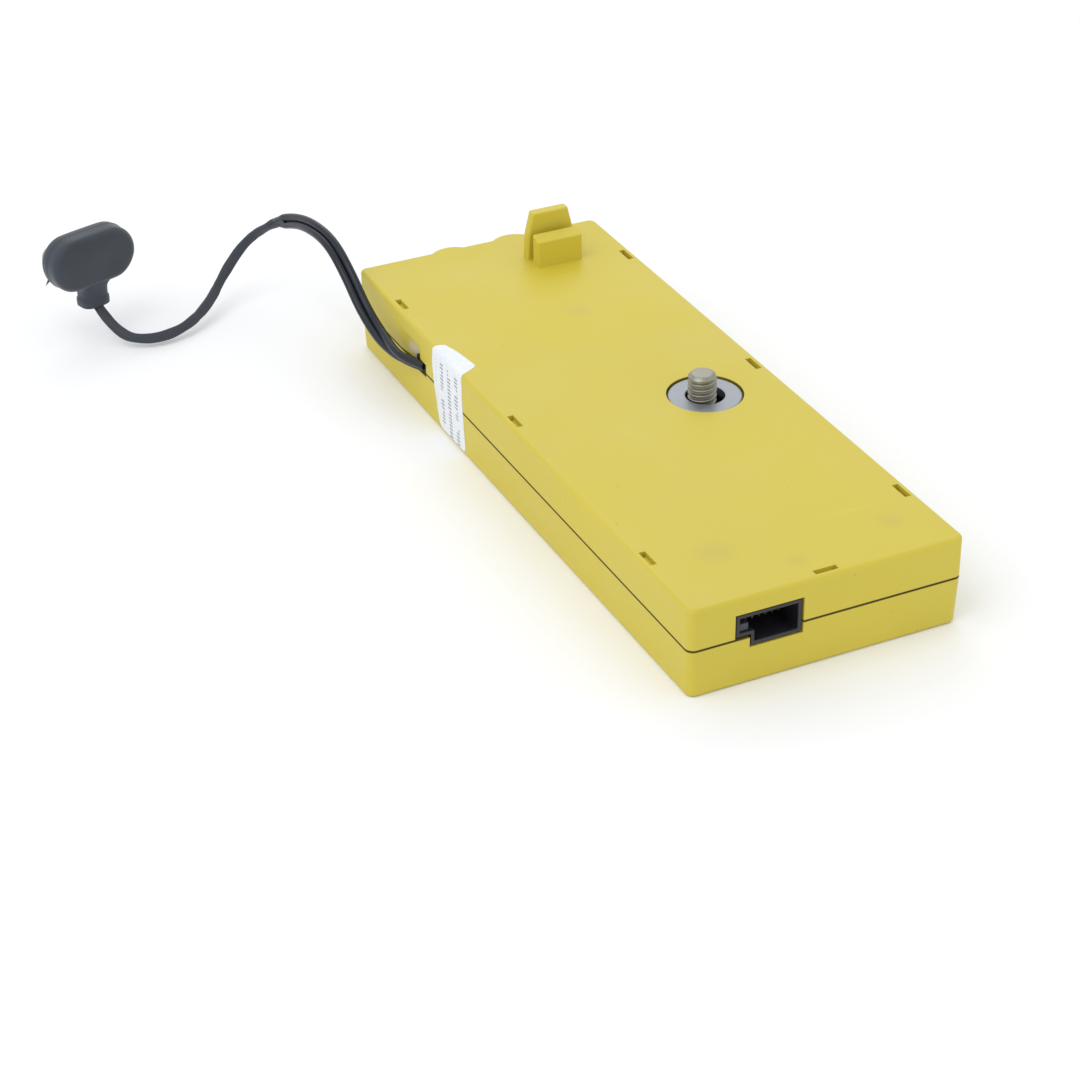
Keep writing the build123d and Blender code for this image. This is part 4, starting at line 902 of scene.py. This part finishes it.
# Screening cans and the crystal: tinned steel sheet, folded and soldered down.
made, tree, place = material("tinned_steel_sheet")
cloud = node(tree, "TexNoise", {"Scale": 200.0, "Detail": 5.0}, {"Vector": place}).outputs["Fac"]
rolled = node(tree, "Mapping", {"Scale": (60.0, 2400.0, 400.0)}, {"Vector": place})
lines = node(tree, "TexNoise", {"Scale": 1.0, "Detail": 2.0}, {"Vector": rolled.outputs["Vector"]})
brushed = node(tree, "Bump", {"Strength": 0.15, "Distance": 0.00003}, {"Height": lines.outputs["Fac"]})
tint, dull = clouded(tree, cloud, "#B4B7B9", "#C9CBCC", 0.26, 0.42)
shade(tree, {"Metallic": 1.0},
      {"Base Color": tint, "Roughness": dull, "Normal": brushed.outputs["Normal"]})
finish(["receiver_shield", "amplifier_shield", "crystal"], made)

# Chips: transfer-moulded black epoxy with a fine matte mould texture.
made, tree, place = material("moulded_epoxy_black")
fine = node(tree, "TexNoise", {"Scale": 5200.0, "Detail": 2.0}, {"Vector": place}).outputs["Fac"]
cloud = node(tree, "TexNoise", {"Scale": 300.0, "Detail": 2.0}, {"Vector": place}).outputs["Fac"]
eroded = node(tree, "Bump", {"Strength": 0.35, "Distance": 0.00003}, {"Height": fine})
tint = node(tree, "ValToRGB", {"stops": [(0.3, "#18191B"), (0.7, "#222427")]},
            {"Fac": cloud}).outputs["Color"]
shade(tree, {"Roughness": 0.62, "IOR": 1.55},
      {"Base Color": tint, "Normal": eroded.outputs["Normal"]})
finish(["processor", "power_inductor"], made)

# Capacitor cans and the backup cell: drawn aluminium and stainless steel, satin.
made, tree, place = material("drawn_can_satin")
cloud = node(tree, "TexNoise", {"Scale": 350.0, "Detail": 4.0}, {"Vector": place}).outputs["Fac"]
drawn = node(tree, "Bump", {"Strength": 0.12, "Distance": 0.00003}, {"Height": cloud})
tint, dull = clouded(tree, cloud, "#BDBFC2", "#D0D2D4", 0.24, 0.36)
shade(tree, {"Metallic": 1.0},
      {"Base Color": tint, "Roughness": dull, "Normal": drawn.outputs["Normal"]})
finish(["capacitors", "backup_cell"], made)

# Patch antenna: a fired ceramic tile, pale tan and faintly speckled, pressed and ground flat.
made, tree, place = material("fired_ceramic_tan")
fleck = node(tree, "TexVoronoi", {"Scale": 1500.0}, {"Vector": place}).outputs["Distance"]
cloud = node(tree, "TexNoise", {"Scale": 90.0, "Detail": 3.0}, {"Vector": place}).outputs["Fac"]
body, dull = clouded(tree, cloud, "#C2B193", "#CDBD9F", 0.36, 0.5)
ground = node(tree, "Bump", {"Strength": 0.2, "Distance": 0.00004}, {"Height": fleck})
speckle = node(tree, "MapRange", {"From Min": 0.1, "From Max": 0.3, "To Min": 0.3, "To Max": 0},
               {"Value": fleck}).outputs["Result"]
colour = node(tree, "Mix", {"data_type": "RGBA", 7: "#A08F72"}, {0: speckle, 6: body}).outputs[2]
shade(tree, {"IOR": 1.6},
      {"Base Color": colour, "Roughness": dull, "Normal": ground.outputs["Normal"]})
finish(["patch_antenna"], made)

# Foam pad: open-cell urethane that presses the antenna board up; its cells are about 0.5 mm.
made, tree, place = material("open_cell_foam_grey")
cells = node(tree, "TexVoronoi", {"Scale": 1900.0}, {"Vector": place}).outputs["Distance"]
pores = node(tree, "Bump", {"Strength": 0.9, "Distance": 0.0003}, {"Height": cells})
tint = node(tree, "ValToRGB", {"stops": [(0.1, "#2B2B2E"), (0.6, "#55565A")]},
            {"Fac": cells}).outputs["Color"]
shade(tree, {"Roughness": 0.95},
      {"Base Color": tint, "Normal": pores.outputs["Normal"]})
finish(["foam_pad"], made)

# Antenna coax: a thin extruded jacket, satin black.
made, tree, place = material("extruded_jacket_black")
cloud = node(tree, "TexNoise", {"Scale": 800.0, "Detail": 2.0}, {"Vector": place}).outputs["Fac"]
drawn = node(tree, "Bump", {"Strength": 0.15, "Distance": 0.00003}, {"Height": cloud})
tint, dull = clouded(tree, cloud, "#141416", "#1F1F22", 0.3, 0.45)
shade(tree, {"IOR": 1.5},
      {"Base Color": tint, "Roughness": dull, "Normal": drawn.outputs["Normal"]})
finish(["antenna_coax"], made)

# Inner run of the power lead: twin wire in dark PVC like the outer run's, held by a clamp bar.
made, tree, place = material("extruded_pvc_inner")
cloud = node(tree, "TexNoise", {"Scale": 400.0, "Detail": 2.0}, {"Vector": place}).outputs["Fac"]
drawn = node(tree, "Bump", {"Strength": 0.15, "Distance": 0.00004}, {"Height": cloud})
tint, dull = clouded(tree, cloud, "#20242D", "#2B303B", 0.26, 0.4)
shade(tree, {"IOR": 1.53},
      {"Base Color": tint, "Roughness": dull, "Normal": drawn.outputs["Normal"]})
finish(["inner_lead"], made)

# Power header: moulded natural nylon, milky and slightly translucent.
made, tree, place = material("moulded_nylon_natural")
cloud = node(tree, "TexNoise", {"Scale": 300.0, "Detail": 3.0}, {"Vector": place}).outputs["Fac"]
bloom = node(tree, "Bump", {"Strength": 0.15, "Distance": 0.00004}, {"Height": cloud})
tint, dull = clouded(tree, cloud, "#D8D4C6", "#E4E1D5", 0.38, 0.5)
shade(tree, {"IOR": 1.53},
      {"Base Color": tint, "Roughness": dull, "Normal": bloom.outputs["Normal"]})
finish(["power_header"], made)
